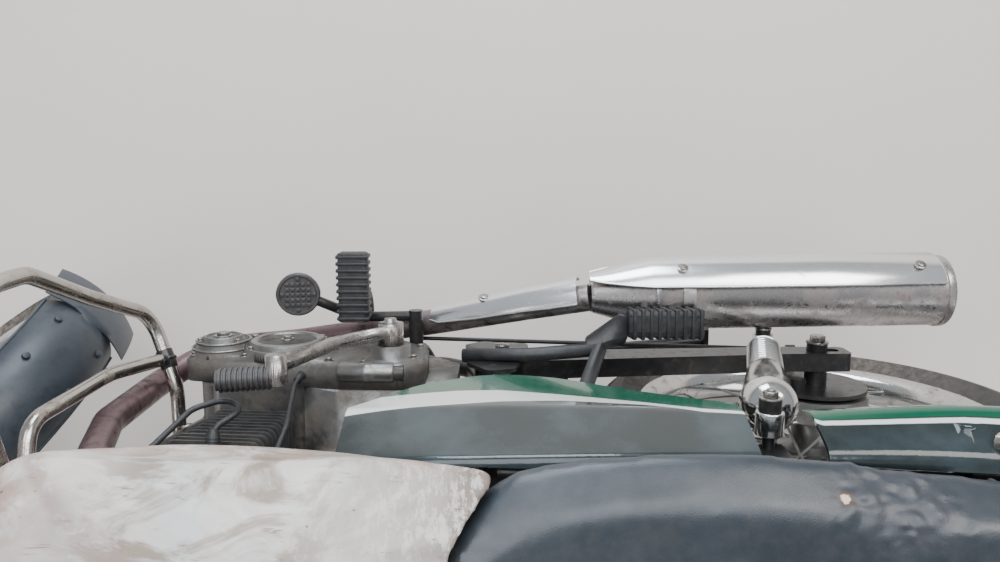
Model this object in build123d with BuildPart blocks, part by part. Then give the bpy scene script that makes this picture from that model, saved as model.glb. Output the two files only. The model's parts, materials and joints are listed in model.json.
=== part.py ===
"""Commuter motorcycle, leaning on its side stand with the steering on its left stop.

Every piece is drawn with the machine upright: X forward from the rear axle, Y to the left,
Z up from the ground. The steered pieces then turn about the head, and the whole machine leans.
"""
from build123d import *
from math import cos, radians, sin, sqrt
import os

os.makedirs("parts", exist_ok=True)

# Stance and steering geometry
LEAN = 12
RAKE = 27
TRAIL = 90
STEER_LOCK = 40
WHEELBASE = 1265

# Wheels
REAR_TYRE_RADIUS = 305
REAR_TYRE_WIDTH = 82
FRONT_TYRE_RADIUS = 299
FRONT_TYRE_WIDTH = 72
BEAD_SEAT_RADIUS = 229
BEAD_HALF_WIDTH = 22
RIM_LIP_HEIGHT = 12
RIM_WELL_RADIUS = 215
SPOKE_COUNT = 18
SPOKE_RADIUS = 1.9
SPOKE_SWEEP = 34
AXLE_RADIUS = 8

# Clearances
FIT = 0.3
RUN = 0.05

# Frame
HEAD_LOW = 735
HEAD_LENGTH = 150
HEAD_RADIUS = 23
TOP_TUBE_RADIUS = 19
DOWN_TUBE_RADIUS = 16
RAIL_RADIUS = 12
RAIL_SPREAD = 85
CRADLE_SPREAD = 60
CRADLE_HEIGHT = 205
PIVOT_X = 435
PIVOT_HEIGHT = 338
PIVOT_PLATE_INNER = 109
PIVOT_PLATE_THICK = 5

# Fork and yokes
FORK_SPREAD = 86
FORK_TUBE_RADIUS = 15
FORK_LEG_RADIUS = 21
STEM_RADIUS = 13
YOKE_THICK = 26
STOP_RADIUS = 29
STOP_HEIGHT = 6
STOP_WIDTH = 10
STOP_ANGLE = 22.7
TOP_YOKE_THICK = 20


def up_the_head(height):
    """Distance along the steering axis from the ground to a height above it."""
    return height / cos(radians(RAKE))


def leaned_height(point):
    """How high a point of the upright machine stands once the machine leans to the left."""
    return point.Z * cos(radians(LEAN)) - point.Y * sin(radians(LEAN))


HEAD = Plane(
    origin=(WHEELBASE + TRAIL, 0, 0),
    x_dir=(cos(radians(RAKE)), 0, sin(radians(RAKE))),
    z_dir=(-sin(radians(RAKE)), 0, cos(radians(RAKE))),
)
STEERING_AXIS = Axis(HEAD.origin, HEAD.z_dir)
FORK_OFFSET = FRONT_TYRE_RADIUS * sin(radians(RAKE)) - TRAIL * cos(radians(RAKE))

# The leaning tyres touch the ground on the side of their crowns
REAR_CROWN = REAR_TYRE_WIDTH / 2
FRONT_CROWN = FRONT_TYRE_WIDTH / 2
GROUND_SHIFT = REAR_CROWN * (1 - cos(radians(LEAN)))
turned_axle = Vector(0, 1, 0).rotate(STEERING_AXIS, STEER_LOCK)
turned_forward = HEAD.x_dir.rotate(STEERING_AXIS, STEER_LOCK)
axle_tip = leaned_height(turned_axle)
turned_axle_height = (FRONT_TYRE_RADIUS - FRONT_CROWN) * sqrt(1 - axle_tip**2) + FRONT_CROWN
AXLE_ALONG = (
    turned_axle_height - GROUND_SHIFT - FORK_OFFSET * leaned_height(turned_forward)
) / leaned_height(HEAD.z_dir)
FRONT_AXLE = HEAD.from_local_coords(Vector(FORK_OFFSET, 0, AXLE_ALONG))
REAR_AXLE = Vector(0, 0, REAR_TYRE_RADIUS)


def add_tube(route, radius, bend):
    """Sweep a round tube along a route of points, its corners rounded by bend."""
    with BuildLine() as line:
        if len(route) > 2:
            FilletPolyline(*route, radius=bend)
        else:
            Line(*route)
    with BuildSketch(Plane(origin=line.line @ 0, z_dir=line.line % 0)) as ring:
        Circle(radius)
    sweep(ring.sketch, path=line.line)


def add_bar(start, end, radius):
    """Add a straight round bar from one point to another."""
    direction = Vector(end) - Vector(start)
    with BuildSketch(Plane(origin=start, z_dir=direction)) as ring:
        Circle(radius)
    extrude(ring.sketch, amount=direction.length)


def cut_bar(start, end, radius):
    """Bore a straight round hole from one point to another."""
    direction = Vector(end) - Vector(start)
    with BuildSketch(Plane(origin=start, z_dir=direction)) as ring:
        Circle(radius)
    extrude(ring.sketch, amount=direction.length, mode=Mode.SUBTRACT)


def wheel_plane(axle, angle=0):
    """Sketch plane through an axle: x across the machine, y outwards, angle forward of upright."""
    turn = radians(angle)
    return Plane(origin=axle, x_dir=(0, 1, 0), z_dir=(cos(turn), 0, -sin(turn)))


def side_plane(offset):
    """Side view plane at an offset to the left: x forward, y up, facing right."""
    return Plane(origin=(0, offset, 0), x_dir=(1, 0, 0), z_dir=(0, -1, 0))


def axle_axis(axle):
    return Axis(axle, (0, 1, 0))


# Wheels: tyre, rim, hub with its spokes
def make_tyre(axle, radius, width):
    """Round-crowned tyre, seated between the lips of the rim."""
    lip = BEAD_SEAT_RADIUS + RIM_LIP_HEIGHT + 1
    widest = radius - width / 2
    with BuildPart() as tyre:
        with BuildSketch(wheel_plane(axle)):
            with BuildLine():
                ThreePointArc((-width / 2, widest), (0, radius), (width / 2, widest))
                Polyline(
                    (width / 2, widest),
                    (BEAD_HALF_WIDTH, lip),
                    (BEAD_HALF_WIDTH, BEAD_SEAT_RADIUS + FIT),
                    (-BEAD_HALF_WIDTH, BEAD_SEAT_RADIUS + FIT),
                    (-BEAD_HALF_WIDTH, lip),
                    (-width / 2, widest),
                )
            make_face()
        revolve(axis=axle_axis(axle))
    return tyre


def make_rim(axle):
    """Rolled steel rim with a drop centre and outward lips."""
    lip = BEAD_HALF_WIDTH + FIT
    outer = [(lip, BEAD_SEAT_RADIUS + RIM_LIP_HEIGHT), (lip + 4, BEAD_SEAT_RADIUS + RIM_LIP_HEIGHT),
             (lip + 4, BEAD_SEAT_RADIUS + 6), (lip, BEAD_SEAT_RADIUS - 4), (12, RIM_WELL_RADIUS)]
    inner = [(10, RIM_WELL_RADIUS + 4), (14, BEAD_SEAT_RADIUS - 3), (lip, BEAD_SEAT_RADIUS)]
    with BuildPart() as rim:
        with BuildSketch(wheel_plane(axle)):
            with BuildLine():
                Polyline(*outer, *[(-x, y) for x, y in reversed(outer)],
                         *[(-x, y) for x, y in reversed(inner)], *inner, close=True)
            make_face()
        revolve(axis=axle_axis(axle))
    return rim


def make_hub(axle, profile, flanges):
    """Drum hub turned from its half profile, with two rings of crossed spokes."""
    with BuildPart() as hub:
        with BuildSketch(wheel_plane(axle)):
            with BuildLine():
                Polyline(*profile, close=True)
            make_face()
        revolve(axis=axle_axis(axle))
        for flange, flange_radius, rim_side in flanges:
            planes = []
            tip_radius = RIM_WELL_RADIUS - FIT - SPOKE_RADIUS * sin(radians(SPOKE_SWEEP))
            for spoke in range(SPOKE_COUNT):
                angle = 360 / SPOKE_COUNT * (spoke + (0.25 if flange > 0 else 0.75))
                sweep_angle = SPOKE_SWEEP if spoke % 2 else -SPOKE_SWEEP
                foot = Vector(0, flange, flange_radius).rotate(Axis.Y, angle)
                tip = Vector(0, rim_side, tip_radius).rotate(Axis.Y, angle + sweep_angle)
                planes.append(Plane(origin=axle + foot, z_dir=tip - foot))
                length = (tip - foot).length
            with BuildSketch(*planes):
                RegularPolygon(radius=SPOKE_RADIUS, side_count=6)
            extrude(amount=length)
    return hub


AXLE_HOLE = AXLE_RADIUS + RUN
REAR_HUB_PROFILE = [
    (-54, AXLE_HOLE), (-54, 20), (-50, 64), (-50, 70), (-20, 70), (-18, 66), (-12, 30), (26, 27),
    (30, 46), (36, 46), (38, 30), (48, 30), (48, AXLE_HOLE),
]
FRONT_HUB_PROFILE = [
    (-42, AXLE_HOLE), (-42, 20), (-38, 60), (-38, 66), (-12, 66), (-10, 62), (-6, 26), (24, 22),
    (27, 38), (32, 38), (34, 24), (42, 24), (42, AXLE_HOLE),
]
rear_tyre = make_tyre(REAR_AXLE, REAR_TYRE_RADIUS, REAR_TYRE_WIDTH)
rear_rim = make_rim(REAR_AXLE)
rear_hub = make_hub(REAR_AXLE, REAR_HUB_PROFILE, [(-22, 66, -6), (33, 42, 6)])
front_tyre = make_tyre(FRONT_AXLE, FRONT_TYRE_RADIUS, FRONT_TYRE_WIDTH)
front_rim = make_rim(FRONT_AXLE)
front_hub = make_hub(FRONT_AXLE, FRONT_HUB_PROFILE, [(-14, 62, -6), (29, 34, 6)])


# Pivots of the stands, shock absorbers and brake pedal, named here because the frame carries them
BRAKE_PIVOT = Vector(556, 0, 278)
BRAKE_PIN = 6
ROD_END = Vector(563, 0, 236)
ROD_RADIUS = 3
SIDE_BOSS = 10
SHOCK_FOOT = (85, 126, 335)
SHOCK_TOP = (178, 122, 662)
SHOCK_STUD = 6
CENTRE_STAND_PIVOT = Vector(410, 0, 243)
GROUND = Plane(
    origin=(0, 0, -GROUND_SHIFT / cos(radians(LEAN))),
    x_dir=(1, 0, 0),
    z_dir=(0, -sin(radians(LEAN)), cos(radians(LEAN))),
)
SIDE_STAND_PIVOT = Vector(498, 118, 232)
SIDE_STAND_FOOT = GROUND.from_local_coords(Vector(532, 280, 0))
SIDE_STAND_FOLDED = Vector(-0.985, 0.12, 0.1).normalized()
SIDE_STAND_AXIS = (SIDE_STAND_FOOT - SIDE_STAND_PIVOT).cross(SIDE_STAND_FOLDED).normalized()

# Seat form, and the pads of the frame that carry the seat and the tank
SEAT_SECTIONS = [
    (500, (60, 790), (84, 812), (46, 842), 846),
    (440, (84, 732), (120, 768), (84, 806), 812),
    (330, (106, 736), (141, 764), (96, 798), 804),
    (150, (108, 744), (137, 770), (96, 808), 816),
    (0, (98, 750), (118, 780), (88, 826), 834),
    (-110, (84, 762), (102, 788), (70, 828), 836),
    (-165, (60, 782), (74, 794), (46, 812), 816),
]
SEAT_PAD_RADIUS = 8
SEAT_PAD_GAP = 0.9
TUNNEL_HALF = TOP_TUBE_RADIUS + 8
TANK_PADS = [(780, 790), (520, 717)]


# Frame: head pipe, top tube, single down tube, twin cradle rails, seat rails, pivot plates
def head_point(along, forward=0, left=0):
    """A point of the steering head: along the axis, ahead of it and to its left."""
    return HEAD.from_local_coords(Vector(forward, left, along))


HEAD_FOOT = up_the_head(HEAD_LOW)
DOWN_TUBE_FOOT = (842, 0, 315)
SEAT_RAIL = [(440, RAIL_SPREAD, 694), (60, RAIL_SPREAD, 716), (-215, RAIL_SPREAD - 8, 742)]
SEAT_STRUT = [(405, RAIL_SPREAD, 692), (425, 98, 560), (436, 98, 395)]
CRADLE_RAIL = [(842, 0, 330), (828, CRADLE_SPREAD - 4, CRADLE_HEIGHT + 22),
               (790, CRADLE_SPREAD, CRADLE_HEIGHT), (520, CRADLE_SPREAD, CRADLE_HEIGHT),
               (474, CRADLE_SPREAD, 240), (462, CRADLE_SPREAD, 292)]
with BuildPart() as main_frame:
    add_bar(head_point(HEAD_FOOT), head_point(HEAD_FOOT + HEAD_LENGTH), HEAD_RADIUS)
    add_tube([head_point(HEAD_FOOT + 105), (700, 0, 770), (440, 0, 694)], TOP_TUBE_RADIUS, 300)
    add_tube([head_point(HEAD_FOOT + 72), (914, 0, 650), DOWN_TUBE_FOOT], DOWN_TUBE_RADIUS, 200)
    for x, height in TANK_PADS:
        add_bar((x, FIT - TUNNEL_HALF, height), (x, TUNNEL_HALF - FIT, height), 9)
    for x, (half, height), *upper in [SEAT_SECTIONS[2], SEAT_SECTIONS[4]]:
        add_bar((x, RAIL_SPREAD, height - 40), (x, RAIL_SPREAD, height - SEAT_PAD_GAP), SEAT_PAD_RADIUS)
    add_bar((440, -RAIL_SPREAD, 694), (440, RAIL_SPREAD, 694), RAIL_RADIUS)
    add_tube(SEAT_RAIL, RAIL_RADIUS, 200)
    add_tube(SEAT_STRUT, RAIL_RADIUS, 90)
    add_tube(CRADLE_RAIL, RAIL_RADIUS, 24)
    with BuildSketch(side_plane(PIVOT_PLATE_INNER + PIVOT_PLATE_THICK)):
        with BuildLine():
            FilletPolyline((398, 300), (462, 280), (486, 300), (480, 400), (452, 440), (418, 430),
                           radius=12, close=True)
        make_face()
    extrude(amount=PIVOT_PLATE_THICK)
    mirror(about=Plane.XZ)
    add_bar((462, -PIVOT_PLATE_INNER, 296), (462, PIVOT_PLATE_INNER, 296), RAIL_RADIUS)
    add_bar((-150, -RAIL_SPREAD, 736), (-150, RAIL_SPREAD, 736), 9)
    for side in [-1, 1]:
        with BuildSketch(side_plane(side * (RAIL_SPREAD + 9) + 3)):
            with Locations((SHOCK_TOP[0], SHOCK_TOP[2] + 20)):
                Rectangle(32, 60)
        extrude(amount=6)
        add_bar((SHOCK_TOP[0], side * 95, SHOCK_TOP[2]), (SHOCK_TOP[0], side * 142, SHOCK_TOP[2]), SHOCK_STUD)
        add_bar((SHOCK_TOP[0], side * (SHOCK_TOP[1] + 12), SHOCK_TOP[2]),
                (SHOCK_TOP[0], side * 146, SHOCK_TOP[2]), 11)
        with BuildSketch(side_plane(side * 96 + 3)):
            with BuildLine():
                FilletPolyline((396, 236), (404, 228), (424, 230), (480, 288), (476, 312), (440, 306),
                               radius=6, close=True)
            make_face()
        extrude(amount=6)
    add_bar(CENTRE_STAND_PIVOT - Vector(0, 99, 0), CENTRE_STAND_PIVOT + Vector(0, 99, 0), 6)
    add_bar((500, CRADLE_SPREAD, CRADLE_HEIGHT), SIDE_STAND_PIVOT - SIDE_STAND_AXIS * 16, 9)
    boss_face = SIDE_BOSS + FIT
    add_bar(SIDE_STAND_PIVOT - SIDE_STAND_AXIS * 19, SIDE_STAND_PIVOT - SIDE_STAND_AXIS * boss_face, 15)
    add_bar(SIDE_STAND_PIVOT - SIDE_STAND_AXIS * 12, SIDE_STAND_PIVOT + SIDE_STAND_AXIS * 12, 6)
    add_bar(SIDE_STAND_PIVOT + SIDE_STAND_AXIS * boss_face, SIDE_STAND_PIVOT + SIDE_STAND_AXIS * 15, 10)
    add_tube([(536, -CRADLE_SPREAD, CRADLE_HEIGHT), (552, -92, 212), BRAKE_PIVOT + Vector(0, -92, 0)], 7, 20)
    add_bar(BRAKE_PIVOT + Vector(0, -86, 0), BRAKE_PIVOT + Vector(0, -158, 0), BRAKE_PIN)
    with BuildSketch(Plane(origin=head_point(HEAD_FOOT), x_dir=HEAD.x_dir, z_dir=HEAD.z_dir)):
        with Locations((-STOP_RADIUS + 2, 0)):
            Rectangle(16, STOP_WIDTH)
    extrude(amount=STOP_HEIGHT)
    cut_bar(head_point(HEAD_FOOT - 1), head_point(HEAD_FOOT + HEAD_LENGTH + 1), STEM_RADIUS + 1)
    cut_bar((PIVOT_X, -150, PIVOT_HEIGHT), (PIVOT_X, 150, PIVOT_HEIGHT), AXLE_RADIUS + RUN)

# Swing arm: pivot tube and two flat box arms with slotted ends
ARM_INNER = 82
ARM_OUTER = 107
with BuildPart() as swing_arm:
    with BuildSketch(side_plane(ARM_OUTER)):
        with BuildLine():
            FilletPolyline((460, 365), (408, 366), (40, 326), (-42, 326), (-42, 286), (40, 284), (408, 308),
                           (460, 312), radius=8, close=True)
        make_face()
        with Locations((-8, REAR_TYRE_RADIUS)):
            SlotOverall(44, 2 * (AXLE_RADIUS + RUN), mode=Mode.SUBTRACT)
    extrude(amount=ARM_OUTER - ARM_INNER)
    mirror(about=Plane.XZ)
    add_bar((PIVOT_X, -ARM_OUTER, PIVOT_HEIGHT), (PIVOT_X, ARM_OUTER, PIVOT_HEIGHT), 19)
    for side in [-1, 1]:
        foot_x, foot_y, foot_z = SHOCK_FOOT
        with BuildSketch(side_plane(side * (ARM_OUTER - 3) + 3)):
            with Locations((foot_x, foot_z - 6)):
                Rectangle(30, 34)
        extrude(amount=6)
        add_bar((foot_x, side * ARM_INNER, foot_z), (foot_x, side * 142, foot_z), SHOCK_STUD)
        add_bar((foot_x, side * (foot_y + 12), foot_z), (foot_x, side * 144, foot_z), 10)
    cut_bar((PIVOT_X, -150, PIVOT_HEIGHT), (PIVOT_X, 150, PIVOT_HEIGHT), AXLE_RADIUS + RUN)


# Engine: crankcase block, round-bossed right cover, magneto cover, finned cylinder, intake
ENGINE_RIGHT = -84
ENGINE_LEFT = 78
COVER_THICK = 33
CYLINDER_X = 748
CYLINDER_BASE = 398
CYLINDER_TILT = 5
FIN_COUNT = 9
FIN_PITCH = 11
FIN_THICK = 3
FIN_RADIUS = 12
BARREL_HALF = 38
CAP_X = 720
CAP_HEIGHT = 348
CAP_RADIUS = 48
FILTER_X = 806
FILTER_HEIGHT = 345
FILTER_RADIUS = 40
KICK_X = 580
KICK_HEIGHT = 372
KICK_SHAFT_RADIUS = 8
OUTPUT_X = 500
OUTPUT_HEIGHT = 345
CASE_OUTLINE = [(824, 300), (824, 388), (800, 404), (690, 404), (640, 432), (520, 428), (494, 400),
                (494, 290), (540, 240), (780, 238)]
with BuildPart() as engine_case:
    with BuildSketch(side_plane(ENGINE_LEFT)):
        with BuildLine():
            FilletPolyline(*CASE_OUTLINE, radius=14, close=True)
        make_face()
    extrude(amount=ENGINE_LEFT - ENGINE_RIGHT)
    with BuildSketch(side_plane(12)):
        with Locations((640, 430)):
            Rectangle(60, 34)
    extrude(amount=24)

COVER_OUTLINE = [(848, 312), (848, 378), (806, 388), (716, 400), (640, 420), (560, 424), (534, 396),
                 (534, 322), (600, 262), (790, 262)]
COVER_FACE = ENGINE_RIGHT - FIT - COVER_THICK
with BuildPart() as clutch_cover:
    with BuildSketch(side_plane(ENGINE_RIGHT - FIT)):
        with BuildLine():
            FilletPolyline(*COVER_OUTLINE, radius=18, close=True)
        make_face()
    extrude(amount=COVER_THICK)
    chamfer(faces().sort_by(Axis.Y)[0].edges(), 6)
    for x, height, radius, stand_out in [
        (CAP_X, CAP_HEIGHT, CAP_RADIUS + 8, 8),
        (CAP_X, CAP_HEIGHT, CAP_RADIUS, 14),
        (FILTER_X, FILTER_HEIGHT, FILTER_RADIUS, 6),
        (FILTER_X, FILTER_HEIGHT, FILTER_RADIUS - 5, 14),
        (FILTER_X, FILTER_HEIGHT, FILTER_RADIUS - 14, 19),
        (KICK_X, KICK_HEIGHT, 26, 14),
    ]:
        with BuildSketch(side_plane(COVER_FACE + 4)):
            with Locations((x, height)):
                Circle(radius)
        extrude(amount=stand_out + 4)
    add_bar((570, COVER_FACE + 12, 418), (640, COVER_FACE + 12, 414), 12)
    add_bar((564, COVER_FACE + 12, 418), (572, COVER_FACE + 12, 418), 9)
    cut_bar((KICK_X, COVER_FACE - 40, KICK_HEIGHT), (KICK_X, COVER_FACE + 20, KICK_HEIGHT),
            KICK_SHAFT_RADIUS + RUN)

MAGNETO_RADIUS = 74
with BuildPart() as magneto_cover:
    with BuildSketch(side_plane(ENGINE_LEFT + FIT + 34)):
        with Locations((CYLINDER_X, 318)):
            Circle(MAGNETO_RADIUS)
    extrude(amount=34)
    fillet(faces().sort_by(Axis.Y)[-1].edges(), 10)
    with BuildSketch(side_plane(ENGINE_LEFT + FIT + 26)):
        with BuildLine():
            FilletPolyline((700, 390), (540, 412), (500, 392), (500, 300), (560, 262), (700, 256),
                           radius=16, close=True)
        make_face()
    extrude(amount=26)

PORT_FOOT = Vector(CYLINDER_X + 20, -8, 587)
PORT_FACE = Vector(CYLINDER_X + 76, -26, 580)
PORT_WAY = (PORT_FACE - PORT_FOOT).normalized()
with BuildPart() as cylinder:
    tilted = Plane(origin=(CYLINDER_X, 0, CYLINDER_BASE + 8), x_dir=(1, 0, 0), z_dir=(0, 0, 1)).rotated(
        (0, CYLINDER_TILT, 0))
    with BuildSketch(tilted):
        RectangleRounded(2 * BARREL_HALF, 2 * BARREL_HALF, 14)
    extrude(amount=FIN_COUNT * FIN_PITCH + 64)
    fins = [tilted.offset(10 + fin * FIN_PITCH) for fin in range(FIN_COUNT)]
    with BuildSketch(*fins):
        RectangleRounded(106, 112, FIN_RADIUS)
    extrude(amount=FIN_THICK)
    head_fins = [tilted.offset(12 + (FIN_COUNT + fin) * FIN_PITCH) for fin in range(3)]
    with BuildSketch(*head_fins):
        RectangleRounded(112, 120, FIN_RADIUS)
    extrude(amount=FIN_THICK)
    with BuildSketch(tilted.offset(12 + (FIN_COUNT + 3) * FIN_PITCH)):
        RectangleRounded(100, 96, 18)
    extrude(amount=34)
    add_bar(PORT_FOOT, PORT_FACE, 23)
    add_bar((CYLINDER_X - 20, 0, 600), (CYLINDER_X - 66, 0, 600), 20)
    add(engine_case.part, mode=Mode.SUBTRACT)

CARBURETTOR_X = 640
with BuildPart() as intake:
    add_bar((CYLINDER_X - 66 - FIT, 0, 600), (CARBURETTOR_X - 10, 0, 600), 20)
    add_bar((CARBURETTOR_X, 0, 552), (CARBURETTOR_X, 0, 655), 22)
    add_bar((CARBURETTOR_X, 0, 655), (CARBURETTOR_X, 0, 668), 15)
    add_bar((CARBURETTOR_X, 0, 600), (570, 0, 600), 24)
    with BuildSketch(side_plane(70)):
        with BuildLine():
            FilletPolyline((576, 500), (576, 655), (470, 655), (462, 500), radius=16, close=True)
        make_face()
    extrude(amount=140)

# Plug lead looped from the head to the down tube, clutch cable and breather hose
PLUG_LEAD = [(752, -40, 566), (750, -82, 560), (726, -94, 528), (752, -100, 510), (784, -94, 530),
             (808, -70, 580), (850, -42, 640), (916, -8, 668)]
CLUTCH_CABLE = [(690, -100, 398), (688, -98, 450), (676, -78, 540), (684, -30, 650), (708, 0, 760)]
BREATHER_HOSE = [(636, -14, 572), (612, -60, 584), (580, -84, 566), (556, -92, 500), (550, -66, 426)]
with BuildPart() as cables:
    add_tube(PLUG_LEAD, 3.5, [12, 16, 22, 24, 40, 60])
    add_bar((752, -52, 566), (751, -76, 561), 7)
    add_tube(CLUTCH_CABLE, 2.8, [60, 80, 60])
    add_bar((690, -100, 398), (688.8, -98.8, 430), 5)
    add_tube(BREATHER_HOSE, 5, [30, 30, 40])
    for piece in [cylinder, clutch_cover, intake, engine_case, main_frame]:
        add(piece.part, mode=Mode.SUBTRACT)

# Exhaust: header pipe under the engine, silencer with its tail cap, two heat shields
PIPE_RADIUS = 18
HEADER_START = PORT_FACE + PORT_WAY * FIT
HEADER = [HEADER_START, HEADER_START + PORT_WAY * 62, (915, -54, 455), (912, -60, 300), (862, -88, 216),
          (740, -98, 212), (520, -138, 252), (400, -170, 314), (318, -186, 334)]
SILENCER_RADIUS = 46
SILENCER_SHOULDER = (236, -190, 334)
SILENCER_TAIL = (-150, -195, 330)
with BuildPart() as exhaust_pipe:
    add_tube(HEADER, PIPE_RADIUS, [40, 60, 70, 70, 120, 150, 150])
    with BuildSketch(Plane(origin=HEADER_START, x_dir=(0, 0, 1), z_dir=PORT_WAY)):
        RectangleRounded(58, 36, 12)
    extrude(amount=7)

with BuildPart() as silencer:
    silencer_direction = Vector(SILENCER_TAIL) - Vector(SILENCER_SHOULDER)
    body = Plane(origin=SILENCER_SHOULDER, z_dir=silencer_direction)
    with BuildSketch(body):
        Circle(SILENCER_RADIUS)
    extrude(amount=silencer_direction.length - 12)
    with BuildSketch(body):
        Circle(SILENCER_RADIUS)
    with BuildSketch(body.offset(-82)):
        Circle(PIPE_RADIUS + 4)
    loft()
    with BuildSketch(body.offset(silencer_direction.length - 12)):
        Circle(SILENCER_RADIUS - 4)
    extrude(amount=12, taper=30)
    with BuildSketch(body.offset(silencer_direction.length)):
        with Locations((0, -8)):
            Circle(13)
    extrude(amount=16)
    add(exhaust_pipe.part, mode=Mode.SUBTRACT)

# Heat shields: curved plates standing off the pipe and the silencer
SHIELD_THICK = 1.5
SHIELD_GAP = 5
SHIELD_FRONT = Vector(244, -189.9, 334)
SHIELD_REAR = Vector(-104, -194.4, 330.5)


def add_shield(stations, half_angle, facing):
    """A curved plate through stations of points and radii, facing outwards from its centre line."""
    sections = []
    points = [Vector(point) for point, radius in stations]
    for index, (point, radius) in enumerate(stations):
        way = points[min(index + 1, len(points) - 1)] - points[max(index - 1, 0)]
        plane = Plane(origin=point, x_dir=way.cross(Vector(facing)).cross(way), z_dir=way)
        with BuildSketch(plane) as section:
            with BuildLine():
                a = radians(half_angle)
                outer, inner = radius + SHIELD_THICK, radius
                ThreePointArc((outer * cos(a), -outer * sin(a)), (outer, 0), (outer * cos(a), outer * sin(a)))
                Line((outer * cos(a), outer * sin(a)), (inner * cos(a), inner * sin(a)))
                ThreePointArc((inner * cos(a), inner * sin(a)), (inner, 0), (inner * cos(a), -inner * sin(a)))
                Line((inner * cos(a), -inner * sin(a)), (outer * cos(a), -outer * sin(a)))
            make_face()
        sections.append(section.sketch.face())
    loft(sections, ruled=True)


with BuildPart() as heat_shields:
    pipe_gap = PIPE_RADIUS + SHIELD_GAP
    add_shield([((520, -138, 252), pipe_gap), ((400, -170, 314), pipe_gap + 5), ((330, -182.5, 331), pipe_gap + 9)],
               70, (0, -1, 0.5))
    add_shield([(SHIELD_FRONT, SILENCER_RADIUS + SHIELD_GAP), (SHIELD_REAR, SILENCER_RADIUS + SHIELD_GAP)],
               52, (0, -1, 0.35))
    for shield_bolt in [0.18, 0.8]:
        foot = SHIELD_FRONT + (SHIELD_REAR - SHIELD_FRONT) * shield_bolt
        outwards = Vector(0, -1, 0.35).normalized()
        add_bar(foot + outwards * (SILENCER_RADIUS - 1), foot + outwards * (SILENCER_RADIUS + 9), 6)
    add_bar(Vector(460, -154, 283) + Vector(0, -0.894, 0.447) * (PIPE_RADIUS - 1),
            Vector(460, -154, 283) + Vector(0, -0.894, 0.447) * (PIPE_RADIUS + 11), 6)
    add(silencer.part, mode=Mode.SUBTRACT)
    add(exhaust_pipe.part, mode=Mode.SUBTRACT)


def body_section(x, low, wide, top, crown, radii):
    """Closed cross-section of a body shell: half widths and heights, corners rounded."""
    half = [low, wide, top]
    with BuildSketch(Plane.YZ.offset(x)) as section:
        with BuildLine():
            FilletPolyline(*half, (0, crown), *[(-y, z) for y, z in reversed(half)],
                           radius=[*radii, radii[-1] * 4, *reversed(radii)], close=True)
        make_face()
    return section.sketch.face()


# Fuel tank: lofted shell form over a tunnel for the top tube, cut back in an arc for the seat
SEAT_JOINT_X = 340
SEAT_JOINT_RADIUS = 150
TANK_SECTIONS = [
    (400, (70, 738), (126, 770), (58, 800), 808),
    (500, (96, 716), (137, 776), (84, 842), 858),
    (610, (112, 706), (142, 790), (92, 886), 906),
    (720, (116, 704), (147, 806), (98, 914), 934),
    (800, (108, 706), (150, 812), (102, 900), 924),
    (850, (84, 724), (124, 806), (74, 866), 880),
]
with BuildPart() as fuel_tank:
    loft([body_section(*row, (14, 30, 30)) for row in TANK_SECTIONS])
    with BuildSketch(side_plane(TUNNEL_HALF)):
        with BuildLine():
            Polyline((380, 640), (900, 640), (900, 850), (700, 797), (440, 722), (380, 704), close=True)
        make_face()
    extrude(amount=2 * TUNNEL_HALF, mode=Mode.SUBTRACT)
    with BuildSketch(Plane.XY.offset(600)):
        with Locations((SEAT_JOINT_X, 0)):
            Circle(SEAT_JOINT_RADIUS)
    extrude(amount=400, mode=Mode.SUBTRACT)

CAP_PLACE_X = 722
with BuildPart() as filler_cap:
    with BuildSketch(Plane.XY.offset(926)):
        with Locations((CAP_PLACE_X, 0)):
            Circle(33)
    extrude(amount=15)
    fillet(faces().sort_by(Axis.Z)[-1].edges(), 4)
    add(fuel_tank.part, mode=Mode.SUBTRACT)

with BuildPart() as seat:
    loft([body_section(*row, (6, 11, 9)) for row in SEAT_SECTIONS])
    with BuildSketch(Plane.XY.offset(600)):
        with Locations((SEAT_JOINT_X - 200, 0)):
            Rectangle(400, 400)
        with Locations((SEAT_JOINT_X, 0)):
            Circle(SEAT_JOINT_RADIUS - 0.8)
        with Locations((SEAT_JOINT_X - 400, 0)):
            Rectangle(400, 400)
    extrude(amount=400, mode=Mode.INTERSECT)

# Side covers and tail cowl: moulded shells that turn in under the edge of the seat
PANEL_WALL = 3
COVER_LIP = 100
COVER_SECTIONS = [
    (200, (122, 480), (134, 664), (114, 730), 733),
    (330, (122, 480), (134, 650), (112, 728), 731),
    (440, (124, 480), (132, 640), (108, 722), 725),
    (600, (111, 480), (123, 628), (93, 692), 696),
]
COVER_OUTLINE = [(592, 616), (596, 745), (205, 745), (203, 629), (235, 612), (290, 576), (371, 514),
                 (440, 490), (527, 534)]
COWL_SECTIONS = [
    (150, (130, 640), (142, 694), (122, 742), 760),
    (20, (135, 644), (152, 702), (122, 754), 768),
    (-120, (124, 664), (142, 722), (108, 772), 784),
    (-262, (54, 700), (74, 738), (56, 790), 800),
]
SEAT_ROOM = 3


def panel_room(sections):
    """Sections of the room inside a shell of the panel wall, open below."""
    return [
        (x, (low[0] - PANEL_WALL, low[1] - 40), (wide[0] - PANEL_WALL, wide[1]),
         (top[0] - PANEL_WALL, top[1] - PANEL_WALL), crown - PANEL_WALL)
        for x, low, wide, top, crown in sections
    ]


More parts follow.
